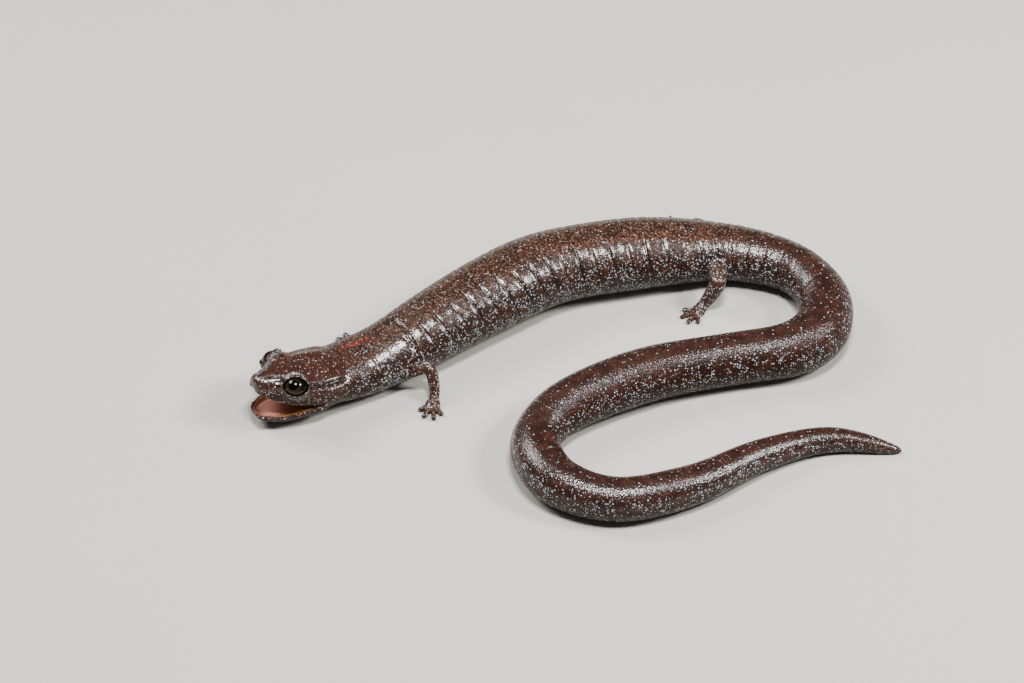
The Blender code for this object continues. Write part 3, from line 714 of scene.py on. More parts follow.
def head_field(points):
    """Distance from the whole head; points are in the head's own directions."""
    behind, beside, above = points.T
    mirror = np.stack((behind, np.abs(beside), above), axis=1)
    field = skull_field(behind, beside, above)
    field = field - swelling(mirror, *JAW_MUSCLE) - swelling(mirror, *CROWN_MUSCLE) * (above > 0.5)
    roll = lip_roll(behind, above - upper_lip(behind), UPPER_LIP_ROLL)
    field = field - LIP_ROLL_HEIGHT * roll * (np.abs(beside) > 0.4)
    jaw = jaw_field(behind, beside, above)
    jaw = jaw - LIP_ROLL_HEIGHT * lip_roll(behind, above - lower_lip(behind), LOWER_LIP_ROLL)
    field = soft_min(field, jaw, JAW_BLEND)
    off_eye = np.linalg.norm(mirror - np.array(EYE_PLACE), axis=1)
    field = soft_min(field, off_eye - EYE_RADIUS - LID_THICKNESS, SOCKET_BLEND)
    field = soft_min(field, tube(mirror, BROW_PATH, 0.02), 0.15)
    field = field - swelling(mirror, *CHEEK_DENT)
    off_line, shown = cheek_line(points)
    furrow = 0.20 * bump_at(off_line, 0.0, CHEEK_GROOVE_WIDTH) - 0.16 * bump_at(off_line, 0.40, 0.24)
    field = field + shown * furrow
    field = field + 0.07 * bump_at(path_distance(mirror, smooth_path(SNOUT_HOLLOW, 3)), 0.0, 0.40)
    fold = bump_at(behind + 0.35 * above, THROAT_FOLD, 0.16) * ease((0.2 - above) / 0.8)
    field = field + 0.10 * fold
    field = soft_max(field, -mouth_field(behind, beside, above), 0.09)
    rim, depth = lid_opening(mirror)
    over_rim = (np.abs(off_eye - EYE_RADIUS - LID_THICKNESS), np.abs(off_eye - EYE_RADIUS))
    for (middle, reach, height, least_depth, off_most), off in zip((LID_RIM, LID_FOLD), over_rim):
        field = field - height * bump_at(rim, middle, reach) * (off < off_most) * (depth > least_depth)
    field = soft_max(field, -soft_max(rim, 0.15 - depth, 0.05), 0.06)
    field = np.maximum(field, EYE_RADIUS + EYE_CLEARANCE - off_eye)
    nostril = np.linalg.norm((mirror - np.array(NOSTRIL)) * np.array((1.0, 1.0, 1.3)), axis=1)
    field = soft_max(field, NOSTRIL_RADIUS - nostril, 0.05)
    return field + 0.05 * bump_at(path_distance(mirror, np.array(LIP_GROOVE)), 0.0, 0.08)


def surface_net(values, low, step):
    """Corners and quads of the surface where the values cross zero, out of the part below it."""
    cells = np.array(values.shape) - 1
    size = int(np.prod(cells))
    total = np.zeros((3, size))
    count = np.zeros(size)
    crossings = []
    for axis in range(3):
        near = np.take(values, range(values.shape[axis] - 1), axis=axis)
        far = np.take(values, range(1, values.shape[axis]), axis=axis)
        crossed = (near < 0.0) != (far < 0.0)
        index = np.argwhere(crossed)
        share = near[crossed] / (near[crossed] - far[crossed])
        place = index.astype(float)
        place[:, axis] += share
        around = []
        for b, c in ((0, 0), (-1, 0), (-1, -1), (0, -1)):
            cell = index.copy()
            cell[:, (axis + 1) % 3] += b
            cell[:, (axis + 2) % 3] += c
            inside = np.all((cell >= 0) & (cell < cells), axis=1)
            number = np.where(inside, (cell[:, 0] * cells[1] + cell[:, 1]) * cells[2] + cell[:, 2], -1)
            good = number[inside]
            count += np.bincount(good, minlength=size)
            for k in range(3):
                total[k] += np.bincount(good, weights=place[inside, k], minlength=size)
            around.append(number)
        around = np.stack(around, axis=1)
        whole = np.all(around >= 0, axis=1)
        flipped = ~(near[crossed] < 0.0)
        around[flipped] = around[flipped][:, ::-1]
        crossings.append(around[whole])
    used = count > 0
    corners = (total[:, used] / count[used]).T * step + np.array(low)
    number = np.cumsum(used) - 1
    return corners, number[np.concatenate(crossings)]


def settle(values):
    """Fills the few grid corners where inside and outside alternate, which would pinch the surface."""
    while True:
        inside = values < 0.0
        marked = np.zeros(values.shape, dtype=bool)
        for a, b in ((0, 1), (0, 2), (1, 2)):
            corners = []
            for shift_a, shift_b in ((0, 0), (1, 0), (1, 1), (0, 1)):
                cut = [slice(None)] * 3
                cut[a] = slice(shift_a, values.shape[a] - 1 + shift_a)
                cut[b] = slice(shift_b, values.shape[b] - 1 + shift_b)
                corners.append(tuple(cut))
            first, second, third, fourth = (inside[c] for c in corners)
            crossed = (first == third) & (second == fourth) & (first != second)
            marked[corners[0]] |= crossed & ~first
            marked[corners[1]] |= crossed & ~second
        if not marked.any():
            return values
        values[marked] = -PINCH


def grid(low, high, step):
    """All places of a box-shaped grid, and its counts."""
    sides = [np.arange(a, b, step) for a, b in zip(low, high)]
    places = np.stack(np.meshgrid(*sides, indexing="ij"), axis=-1)
    return places.reshape(-1, 3), places.shape[:3]


def head_mesh():
    """The head's skin in the drawing frame."""
    places, shape = grid(*HEAD_BLOCK, HEAD_MESH)
    values = settle(head_field(places).reshape(shape))
    corners, quads = surface_net(values, HEAD_BLOCK[0], HEAD_MESH)
    return head_to_drawing(corners), quads


def leg_block(first, last, legs, depth):
    """The skin of a stretch of the body with its two legs."""
    near = BODY["centre"][(BODY["distance"] > first) & (BODY["distance"] < last)]
    joints = np.concatenate([np.array(LEGS[name])[:, :3] for name in legs])
    low = np.minimum(near.min(axis=0) - 4.0, joints.min(axis=0) - LEG_REACH)
    high = np.maximum(near.max(axis=0) + 4.0, joints.max(axis=0) + LEG_REACH)
    low[2], high[2] = LEG_BLOCK_HEIGHTS
    places, shape = grid(low, high, LEG_MESH)
    field = body_field(places, first, last, depth)
    for name in legs:
        joints = np.array(LEGS[name])[:, :3]
        inside = (places > joints.min(axis=0) - LEG_REACH) & (places < joints.max(axis=0) + LEG_REACH)
        inside = np.all(inside, axis=1)
        leg = leg_field(places[inside], LEGS[name], name.endswith("right"))
        field[inside] = soft_min(field[inside], leg, LEG_BLEND)
    field = soft_max(field, -places[:, 2], 0.04)
    return surface_net(settle(field.reshape(shape)), low, LEG_MESH)


def ring_places(first, last, spacing):
    """Distances of the rings of one length, closer together in each groove and at the tail tip."""
    where = np.linspace(first, last, 6000)
    off = (where - FIRST_GROOVE) / GROOVE_SPACING
    off = (off - np.round(off)) * GROOVE_SPACING
    closer = 4.0 * bump_at(off, 0.0, 0.17) * ease((LAST_GROOVE - where) / 3.0)
    closer = closer + 3.0 * bump_at(where, BODY_END, 1.2)
    passed = np.cumsum((1.0 + closer) / spacing) * (where[1] - where[0])
    rings = int(passed[-1])
    places = np.interp(np.linspace(passed[0], passed[-1], rings + 1), passed, where)
    places[0] = first
    places[-1] = last
    return places


def loft_block(first, last, sides, spacing, depth, closed_end):
    """The skin of a stretch of the body without legs, as rings that lean with the grooves."""
    places = ring_places(first, last, spacing)
    angle = 2.0 * math.pi * np.arange(sides) / sides
    side = np.cos(angle)[None, :]
    top = np.sin(angle)[None, :]
    lean = ease((places - first) / LEAN_RUN) * ease((min(last, LAST_GROOVE + LEAN_RUN) - places) / LEAN_RUN)
    distance = places[:, None] - GROOVE_LEAN * lean[:, None] * np.maximum(top, 0.0)
    short = np.clip((BODY_END - distance) / TIP_ROUND, 0.0, 1.0)
    blunt = np.sqrt(np.maximum(1.0 - (1.0 - short) ** 2, 0.01))
    half_width, half_height = read_table(BODY_PROFILE, distance) * blunt
    inward = drawn_in(distance, side, top, depth)
    centre, _, left, up = (np.moveaxis(row, 0, -1) for row in body_at(distance))
    wide = ((half_width - inward) * side)[..., None]
    high = ((half_height - inward) * top)[..., None]
    corners = centre + left * wide + up * high
    corners[..., 2] = np.maximum(corners[..., 2], 0.0)
    corners = corners.reshape(-1, 3)
    i = np.arange(len(places) - 1)[:, None] * sides
    j = np.arange(sides)[None, :]
    k = (j + 1) % sides
    quads = np.stack((i + j, i + k, i + sides + k, i + sides + j), axis=-1).reshape(-1, 4)
    faces = [tuple(q) for q in quads]
    if closed_end:
        tip = len(corners)
        end = body_at(places[-1])
        corners = np.concatenate((corners, [end[0] + end[1] * half_width[-1, 0] * 0.3]))
        base = (len(places) - 1) * sides
        faces += [(base + a, base + (a + 1) % sides, tip) for a in range(sides)]
    return corners, faces


def add_block(bm, block, cuts):
    """Adds a stretch of skin, cut off square where the next one starts; a cut leaves legs alone."""
    corners, faces = block
    mesh = bpy.data.meshes.new("stretch")
    mesh.from_pydata([tuple(c) for c in corners], [], [tuple(int(i) for i in f) for f in faces])
    piece = bmesh.new()
    piece.from_mesh(mesh)
    for point, outward in cuts:
        point = Vector(point)
        near = [v for v in piece.verts if (v.co - point).length < CUT_REACH]
        edges = {e for v in near for e in v.link_edges}
        around = {f for v in near for f in v.link_faces}
        bmesh.ops.bisect_plane(
            piece, geom=near + list(edges) + list(around), dist=1e-5,
            plane_co=point, plane_no=Vector(outward), clear_outer=True)
    piece.to_mesh(mesh)
    piece.free()
    bm.from_mesh(mesh)
    bpy.data.meshes.remove(mesh)


def open_loops(bm):
    """The open edges of the mesh as closed loops of corners.

    Each starts at its first corner, because a set's own order can change from run to run.
    """
    bm.verts.index_update()
    left = {v for e in bm.edges if e.is_boundary for v in e.verts}
    loops = []
    while left:
        here = min(left, key=lambda v: v.index)
        left.remove(here)
        loop = [here]
        while True:
            ahead = [e.other_vert(here) for e in here.link_edges if e.is_boundary]
            ahead = [v for v in ahead if v in left]
            if not ahead:
                break
            here = ahead[0]
            left.remove(here)
            loop.append(here)
        loops.append(loop)
    return loops


def middle_of(loop):
    """The middle of a loop's corners."""
    return sum((v.co for v in loop), Vector()) / len(loop)


def sew(bm, near, far, axis):
    """Joins two open loops with triangles, step by step round both."""
    rings = []
    for loop in (near, far):
        centre = middle_of(loop)
        pairs = zip(loop, loop[1:] + loop[:1])
        area = sum((a.co - centre).cross(b.co - centre).dot(axis) for a, b in pairs)
        rings.append(loop if area > 0.0 else loop[::-1])
    first, second = rings
    begin = min(range(len(second)), key=lambda i: (second[i].co - first[0].co).length)
    second = second[begin:] + second[:begin]
    shares = []
    for ring in (first, second):
        runs = [(b.co - a.co).length for a, b in zip(ring, ring[1:] + ring[:1])]
        shares.append(np.cumsum(runs) / sum(runs))
    i = 0
    j = 0
    while i < len(first) or j < len(second):
        a = first[i % len(first)]
        b = second[j % len(second)]
        if j >= len(second) or (i < len(first) and shares[0][i] <= shares[1][j]):
            i += 1
            ahead = first[i % len(first)]
        else:
            j += 1
            ahead = second[j % len(second)]
        bm.faces.new((a, b, ahead))


def skin_bmesh(depth):
    """The whole skin as one closed surface, in the drawing frame."""
    bm = bmesh.new()
    ends = []
    for seam in SEAMS:
        centre, along, _, _ = body_at(seam)
        half = along * SEAM_GAP / 2
        ends.append(((centre - half, along), (centre + half, -along)))
    neck, chest, loin, vent = SEAMS
    add_block(bm, head_mesh(), [ends[0][0]])
    forelegs = leg_block(neck, chest, ("foreleg_left", "foreleg_right"), depth)
    add_block(bm, forelegs, [ends[0][1], ends[1][0]])
    add_block(bm, loft_block(chest + SEAM_GAP, loin - SEAM_GAP, TRUNK_SIDES, TRUNK_RINGS, depth, False), [])
    hindlegs = leg_block(loin, vent, ("hindleg_left", "hindleg_right"), depth)
    add_block(bm, hindlegs, [ends[2][1], ends[3][0]])
    add_block(bm, loft_block(vent + SEAM_GAP, BODY_END, TAIL_SIDES, TAIL_RINGS, depth, True), [])
    loops = open_loops(bm)
    for seam in SEAMS:
        centre, along, _, _ = body_at(seam)
        near, far = sorted(loops, key=lambda loop: (middle_of(loop) - Vector(centre)).length)[:2]
        sew(bm, near, far, Vector(along))
    bmesh.ops.recalc_face_normals(bm, faces=bm.faces)
    return bm


def relax(points, edges, weight, rounds):
    """Draws each point towards the middle of its neighbours, by its own weight."""
    counts = np.bincount(edges.ravel(), minlength=len(points))[:, None]
    for _ in range(rounds):
        total = np.zeros_like(points)
        for here, there in (edges.T, edges.T[::-1]):
            for k in range(3):
                total[:, k] += np.bincount(here, weights=points[there, k], minlength=len(points))
        points = points + (total / counts - points) * weight[:, None]
    return points


def finished_skin(depth):
    """The skin's corners, faces and marks, smoothed where its stretches are sewn."""
    bm = skin_bmesh(depth)
    points = np.array([v.co for v in bm.verts])
    edges = np.array([[v.index for v in e.verts] for e in bm.edges])
    marks = skin_marks(points)
    along = marks.pop("along")
    near_seam = sum(bump_at(along, seam, SEAM_RELAX_REACH) for seam in SEAMS)
    weight = np.clip(RELAX_WEIGHT + SEAM_RELAX_WEIGHT * near_seam, 0.0, 0.7)
    points = relax(points, edges, weight, RELAX_ROUNDS)
    points[:, 2] = np.maximum(points[:, 2], 0.0)
    for vertex, point in zip(bm.verts, points):
        vertex.co = point
    mesh = bpy.data.meshes.new("skin")
    bm.to_mesh(mesh)
    bm.free()
    for name, values in marks.items():
        attribute = mesh.attributes.new(name, "FLOAT", "POINT")
        attribute.data.foreach_set("value", values.astype(np.float32))
    return mesh


def mouth_marks(head, on_head):
    """The mouth's lining, its pale tongue and gums, and the lips' edges."""
    behind, beside, above = head.T
    jaw_width = read_table(JAW_PROFILE, behind)[0] * ease((behind - 0.5) / 0.5)
    lip_width = read_table(HEAD_PROFILE, behind)[0] * ease((behind - 0.1) / 0.5)
    lower = above < 0.5 * (upper_lip(behind) + lower_lip(behind))
    inner = np.where(lower, jaw_width, lip_width) - np.abs(beside)
    off_eye = np.linalg.norm(mirrored(head) - np.array(EYE_PLACE), axis=1)
    in_mouth = np.abs(mouth_field(behind, beside, above)) < 0.13
    in_mouth = in_mouth * on_head * (off_eye > EYE_RADIUS + 0.3)
    web = in_mouth * ease((behind - 3.6) / 0.5)
    lining = ease((inner - 0.10) / 0.20) * in_mouth
    lining = np.maximum(lining * (1.0 - 0.5 * web * ease((0.7 - inner) / 0.4)), 0.5 * web)
    gum = 0.8 * bump_at(inner, 0.30, 0.12)
    tongue = np.maximum(tongue_mound(behind, beside, 0.66 * jaw_width, 0.3), gum)
    upper = bump_at(above - upper_lip(behind), 0.12, 0.10) * (behind < UPPER_LIP_ROLL[2])
    low = bump_at(above - lower_lip(behind), -0.12, 0.10) * (behind < LOWER_LIP_ROLL[2])
    return {
        "lining": lining,
        "tongue": lining * tongue * lower,
        "lip": np.maximum(upper, low) * on_head * (lining < 0.5),
    }


def mirrored(head):
    """Places in the head's own directions, all brought to its left side."""
    return np.stack((head[:, 0], np.abs(head[:, 1]), head[:, 2]), axis=1)


def skin_marks(points):
    """Where each corner lies along the animal, how much of each marking it has, and how much painted shade
    and painted highlight.
    """
    head = drawing_to_head(points)
    on_head = (head[:, 0] < SEAMS[0]) & (np.hypot(head[:, 1], head[:, 2]) < 5.0)
    along, left, up = np.where(on_head, head.T, to_body(points, HEAD_SAMPLES_START, BODY_END + 1.0))
    half_width, half_height = read_table(BODY_PROFILE, along)
    turn = np.arctan2(up / half_height, left / half_width)
    angle = np.degrees(turn)
    side = np.cos(turn)
    top = np.sin(turn)
    off_body = np.hypot(left / half_width, up / half_height)
    limb = ease((off_body - 1.06) / 0.18) * ~on_head * (along > 9.0) * (along < 52.0)
    off_eye = np.linalg.norm(mirrored(head) - np.array(EYE_PLACE), axis=1)
    rim, depth = lid_opening(mirrored(head))
    # The lids' dark rims: the lower one the skin's own colour, the upper one painted shade under the brow;
    # fewer flecks there too.
    lid_rim_and_shade = bump_at(rim, 0.02, 0.07) * (on_head & (off_eye < EYE_RADIUS + 0.55) & (depth > 0.0))
    ridge = path_distance(mirrored(head), BROW_PATH[:, :3])
    near_head = ease((11.0 - along) / 4.0)
    tail = ease((along - TAIL_COLOUR_RUN[0]) / (TAIL_COLOUR_RUN[1] - TAIL_COLOUR_RUN[0]))
    nape = ease((along - NAPE_BLAZE[0]) / 0.6) * ease((NAPE_BLAZE[1] - along) / 0.9)
    rust = sum(bump_at(along, middle, reach) * bump_at(angle, where, width)
               for middle, reach, where, width in RUST_PATCHES)
    off_line, shown = cheek_line(head)
    # The groove behind the eye: also the share of painted shade in it.
    cheek = bump_at(off_line, 0.0, CHEEK_GROOVE_WIDTH) * shown
    folds = groove(along, side, top)[0]
    # Painted shade in the grooves between the ribs, off the legs, fading low on the flank and weaker on the
    # back.
    shaded = folds * (1.0 - limb) * ease((top + 0.25) / 0.5) * (1.0 - 0.5 * ease((top - 0.7) / 0.25))
    flank = ease((0.95 - np.abs(top - 0.05)) / 0.60)
    marks = mouth_marks(head, on_head)
    density = fleck_density(along, angle, on_head) * (points[:, 2] > 0.25)
    density = density * (1.0 - 0.3 * limb) * (1.0 - marks["lining"]) * (1.0 - np.clip(2.0 * lid_rim_and_shade, 0.0, 1.0))
    return {
        **marks,
        "along": along,
        "head": near_head,
        "tail": tail,
        "back": ease((top - 0.50) / 0.45) * (1.0 - tail) * (1.0 - 0.85 * near_head),
        # Darker lower flank and belly: partly the skin's own tone, partly painted shade that offsets light
        # thrown up by the pale floor.
        "belly_and_shade": ease((0.45 - top) / 0.85) * (1.0 - 0.5 * near_head),
        "limb": limb,
        "groove": np.where(on_head, cheek, shaded),
        "lid_rim_and_shade": lid_rim_and_shade * (rim < 0.16),
        # A pale line along the brow ridge: partly silver pigment, partly a painted highlight.
        "brow_silver_and_highlight": bump_at(ridge, 0.16, 0.09) * on_head * (rim > 0.12) * ease((head[:, 2] - 0.9) / 0.3),
        "nape": nape * bump_at(angle, *NAPE_BLAZE_ANGLE) * (limb < 0.5),
        "rust": np.clip(rust, 0.0, 1.0) * (limb < 0.5),
        "corner": ease((along - 1.6) / 1.4),
        "dust": 0.12 + 0.9 * flank * (1.0 - 0.30 * tail) * (1.0 - 0.65 * near_head),
        "wet": (0.06 + 0.80 * ease(top / 0.66)) * (0.08 + 0.92 * ease((side + 0.75) / 0.70)),
        "film": 0.36 + 0.45 * tail,
        "fleck_density": density * (1.0 - np.clip(2.0 * np.where(on_head, cheek, folds), 0.0, 1.0)),
    }


def fleck_density(along, angle, on_head):
    """How thickly the larger silver flecks lie on bare skin, as a share of the greatest density."""
    flank = 0.16 + 0.84 * np.clip(1.0 - np.abs(np.abs(90.0 - np.abs(angle)) - 55.0) / 60.0, 0.0, 1.0)
    trunk = 1.0 - 0.45 * ease((along - 45.0) / 15.0)
    share = np.where(angle > -60.0, flank * trunk, 0.12)
    return np.where(on_head, 0.20 + 0.26 * ease((70.0 - angle) / 40.0), share)


def add_node(tree, kind, options=(), inputs=()):
    """Adds a node, sets its options, sets or links its inputs by name or number, and gives its outputs."""
    node = tree.nodes.new(kind)
    for name, value in dict(options).items():
        setattr(node, name, value)
    for name, value in dict(inputs).items():
        if isinstance(value, bpy.types.NodeSocket):
            tree.links.new(value, node.inputs[name])
        else:
            node.inputs[name].default_value = value
    return node.outputs


def new_material(name):
    """An empty material and its node tree."""
    material = bpy.data.materials.new(name)
    material.use_nodes = True
    material.node_tree.nodes.clear()
    return material, material.node_tree


def colour(hex_value):
    """An RGBA colour for a socket."""
    return (*to_linear(hex_value), 1.0)


def multiplied(tree, found, strength, factors):
    """A strength times marks and patterns, or times their smooth steps."""
    share = strength
    for factor in factors:
        name, *step = (factor,) if isinstance(factor, str) else factor
        value = found[name]
        if step:
            limits = dict(zip(("From Min", "From Max", "To Min", "To Max"), step))
            smooth = {"interpolation_type": "SMOOTHSTEP"}
            value = add_node(tree, "ShaderNodeMapRange", smooth, {"Value": value, **limits})[0]
        share = add_node(tree, "ShaderNodeMath", {"operation": "MULTIPLY"}, {0: value, 1: share})[0]
    return share


def painted(tree, found, ground, coats):
    """A ground colour under coats of other colours."""
    for coat, strength, factors in coats:
        over = colour(coat) if coat.startswith("#") else found[coat]
        share = multiplied(tree, found, strength, factors)
        ground = add_node(tree, "ShaderNodeMix", {"data_type": "RGBA"}, {0: share, 6: ground, 7: over})[2]
    return ground


def specks(tree, place, share, spacing, size, softness):
    """Round spots about a spacing apart; share is how many of them show."""
    cells = add_node(tree, "ShaderNodeTexVoronoi", {}, {"Scale": 1.0 / spacing, "Vector": place})
    chance = add_node(tree, "ShaderNodeSeparateColor", {}, {"Color": cells["Color"]})
    reach = {0: chance["Green"], 1: 0.5 * size / spacing, 2: 0.65 * size / spacing}
    reach = add_node(tree, "ShaderNodeMath", {"operation": "MULTIPLY_ADD"}, reach)[0]
    off = {0: cells["Distance"], 1: reach}
    shown = {0: chance["Red"], 1: share}
    found = {
        "off": add_node(tree, "ShaderNodeMath", {"operation": "DIVIDE"}, off)[0],
        "shown": add_node(tree, "ShaderNodeMath", {"operation": "LESS_THAN"}, shown)[0],
    }
    return multiplied(tree, found, 1.0, (("off", 1.0, 1.0 - softness), "shown"))


def skin_material(settings):
    """Wet amphibian skin: dark and granular under a film of mucus, with silver flecks of pigment.

    The film gives small bright reflections, the brightest on the back and upper flank; the
    granules break them into glints.
    """
    material, tree = new_material("wet_amphibian_skin")
    place = {"Vector": add_node(tree, "ShaderNodeTexCoord")["Object"], "Scale": (1 / MM, 1 / MM, 1 / MM)}
    place = add_node(tree, "ShaderNodeMapping", {}, place)[0]
    found = {}
    for name in SKIN_MARKS:
        found[name] = add_node(tree, "ShaderNodeAttribute", {"attribute_name": name})["Fac"]
    for name in ("dark_colour", "tail_colour", "back_colour", "fleck_colour"):
        found[name] = (*getattr(settings, name), 1.0)
    for name, (scale, detail) in SKIN_NOISES.items():
        noise = add_node(tree, "ShaderNodeTexNoise", {}, {"Scale": scale, "Detail": detail, "Vector": place})
        found[name] = noise["Color" if name == "jitter" else "Fac"]
    ragged = {0: found["jitter"], 1: (RAGGED, RAGGED, RAGGED), 2: place}
    ragged = add_node(tree, "ShaderNodeVectorMath", {"operation": "MULTIPLY_ADD"}, ragged)[0]
    granules = add_node(tree, "ShaderNodeTexVoronoi", {}, {"Scale": 1 / GRANULE, "Vector": ragged})
    found["granules"] = granules["Distance"]
    add = {"operation": "MULTIPLY_ADD"}
    dust = multiplied(tree, found, 1.0, ("dust", ("density", 0.25, 0.60)))
    dust = add_node(tree, "ShaderNodeMath", add, {0: dust, 1: 1.0, 2: found["lip"]})[0]
    found["dust_specks"] = specks(tree, ragged, dust, *DUST)
    gold = multiplied(tree, found, 0.9, ("back", ("fine", 0.48, 0.66)))
    gold = add_node(tree, "ShaderNodeMath", add, {0: found["head"], 1: 0.20, 2: gold})[0]
    found["gold_specks"] = specks(tree, ragged, gold, *GOLD)
    found["mouth_colour"] = painted(tree, found, colour("#6A3D30"), MOUTH_COATS)
    grain = multiplied(tree, found, 0.8, ("fine",))
    grain = add_node(tree, "ShaderNodeMath", add, {0: found["granules"], 1: -0.7, 2: grain})[0]
    bump = {"Strength": 0.8, "Distance": 0.05 * MM, "Height": grain}
    film = {"Strength": found["film"], "Distance": 0.04 * MM, "Height": grain}
    roughness = {"Value": found["fine"], "To Min": 0.32, "To Max": 0.50}
    shader = add_node(tree, "ShaderNodeBsdfPrincipled", {}, {
        # Base colour: the skin's own colours, with painted shade in the grooves, on the upper lid rims and
        # low on the body, and a painted highlight along the brow.
        "Base Color": painted(tree, found, (*settings.brown_colour, 1.0), SKIN_COATS),
        "Roughness": add_node(tree, "ShaderNodeMapRange", {}, roughness)[0],
        "IOR": 1.45,
        "Specular IOR Level": 0.14,
        "Normal": add_node(tree, "ShaderNodeBump", {}, bump)[0],
        "Coat Weight": found["wet"],
        "Coat Roughness": 0.15,
        "Coat IOR": 1.55,
        "Coat Normal": add_node(tree, "ShaderNodeBump", {}, film)[0],
    })[0]
    add_node(tree, "ShaderNodeOutputMaterial", {}, {"Surface": shader})
    return material


def fleck_material(settings):
    """Guanine crystals in the skin: pale silver, slightly blue, wet like the skin round them."""
    material, tree = new_material("silver_pigment")
    place = add_node(tree, "ShaderNodeTexCoord")["Object"]
    cloud = {"Scale": 1 / (FLECK_CLOUD * MM), "Detail": 2.0, "Vector": place}
    found = {"cloud": add_node(tree, "ShaderNodeTexNoise", {}, cloud)["Fac"]}
    roughness = {"Value": found["cloud"], "To Min": 0.25, "To Max": 0.45}
    tint = (("#B9A998", 1.0, (("cloud", 0.4, 0.6),)),)
    shader = add_node(tree, "ShaderNodeBsdfPrincipled", {}, {
        "Base Color": painted(tree, found, (*settings.fleck_colour, 1.0), tint),
        "Roughness": add_node(tree, "ShaderNodeMapRange", {}, roughness)[0],
        "Coat Weight": 0.6,
        "Coat Roughness": 0.14,
    })[0]
    add_node(tree, "ShaderNodeOutputMaterial", {}, {"Surface": shader})
    return material


def eye_material():
    """A wet cornea over a dark iris: mirror-smooth, black at the pupil, brassy in the iris."""
    material, tree = new_material("wet_eye")
    uv = {0: add_node(tree, "ShaderNodeUVMap", {"uv_map": "gaze"})[0], 1: (0.5, 0.5, 0.0)}
    middle = add_node(tree, "ShaderNodeVectorMath", {"operation": "SUBTRACT"}, uv)[0]
    long = add_node(tree, "ShaderNodeVectorMath", {"operation": "LENGTH"}, {0: middle})["Value"]
    split = add_node(tree, "ShaderNodeSeparateXYZ", {}, {"Vector": middle})
    turn = add_node(tree, "ShaderNodeMath", {"operation": "ARCTAN2"}, {0: split["Y"], 1: split["X"]})[0]
    found = {"long": long, "turn": turn, "height": split["Y"]}
    found["off"] = multiplied(tree, found, 2.0 * EYE_RADIUS, ("long",))
    ray = {"X": multiplied(tree, found, 6.0, ("turn",)), "Y": found["off"]}
    ray = {"Scale": 1.6, "Detail": 4.0, "Vector": add_node(tree, "ShaderNodeCombineXYZ", {}, ray)[0]}
    found["rays"] = add_node(tree, "ShaderNodeTexNoise", {}, ray)["Fac"]
    shader = add_node(tree, "ShaderNodeBsdfPrincipled", {}, {
        "Base Color": painted(tree, found, colour("#0C0806"), EYE_COATS),
        "Roughness": 0.35,
        "Specular IOR Level": 0.0,
        "Coat Weight": 1.0,
        "Coat Roughness": 0.02,
        "Coat IOR": 1.38,
    })[0]
    add_node(tree, "ShaderNodeOutputMaterial", {}, {"Surface": shader})
    return material


def floor_material(settings):
    """Matt painted board: pale, even and without shine."""
    material, tree = new_material("matt_painted_board")
    place = add_node(tree, "ShaderNodeTexCoord")["Object"]
    cloud = {"Scale": 60.0, "Detail": 4.0, "Vector": place}
    found = {"cloud": add_node(tree, "ShaderNodeTexNoise", {}, cloud)["Fac"]}
    tint = painted(tree, found, (*settings.floor_colour, 1.0), (("#B0ACA4", 0.25, ("cloud",)),))
    shader = add_node(tree, "ShaderNodeBsdfPrincipled", {}, {"Base Color": tint, "Roughness": 0.85})[0]
    add_node(tree, "ShaderNodeOutputMaterial", {}, {"Surface": shader})
    return material


def to_frame(mesh):
    """Moves a mesh from the drawing's millimetres to the frame's metres."""
    shift = Matrix.Translation((FOOTPRINT_SHIFT[0] * MM, FOOTPRINT_SHIFT[1] * MM, 0.0))
    mesh.transform(shift @ Matrix.Scale(MM, 4))


def show(name, mesh, material):
    """A finished piece at the origin, in the scene, shaded smooth."""
    mesh.materials.clear()
    mesh.materials.append(material)
    mesh.shade_smooth()
    piece = bpy.data.objects.new(name, mesh)
    bpy.context.scene.collection.objects.link(piece)
    return piece


def eye_mesh(sign):
    """An eyeball with a slightly raised cornea, and a map centred on the pupil."""
    bm = bmesh.new()
    bmesh.ops.create_uvsphere(bm, u_segments=64, v_segments=48, radius=1.0)
    uv = bm.loops.layers.uv.new("gaze")
    for face in bm.faces:
        for loop in face.loops:
            place = loop.vert.co
            loop[uv].uv = (0.5 + 0.5 * place.x, 0.5 + 0.5 * place.y)
    for vertex in bm.verts:
        angle = vertex.co.angle(Vector((0.0, 0.0, 1.0)))
        vertex.co = vertex.co * (EYE_RADIUS + CORNEA_RISE * math.exp(-(angle / CORNEA_ANGLE) ** 2))
    to_side = np.array((1.0, sign, 1.0))
    forward = Vector((np.array(GAZE_AXIS) * to_side) @ HEAD_AXES).normalized()
    across = Vector(HEAD_AXES[2]).cross(forward).normalized()
    turn = Matrix((across, forward.cross(across), forward)).transposed().to_4x4()
    centre = head_to_drawing(np.array(EYE_PLACE) * to_side)
    bm.transform(Matrix.Translation(Vector(centre)) @ turn)
    mesh = bpy.data.meshes.new("eye")
    bm.to_mesh(mesh)
    bm.free()
    return mesh


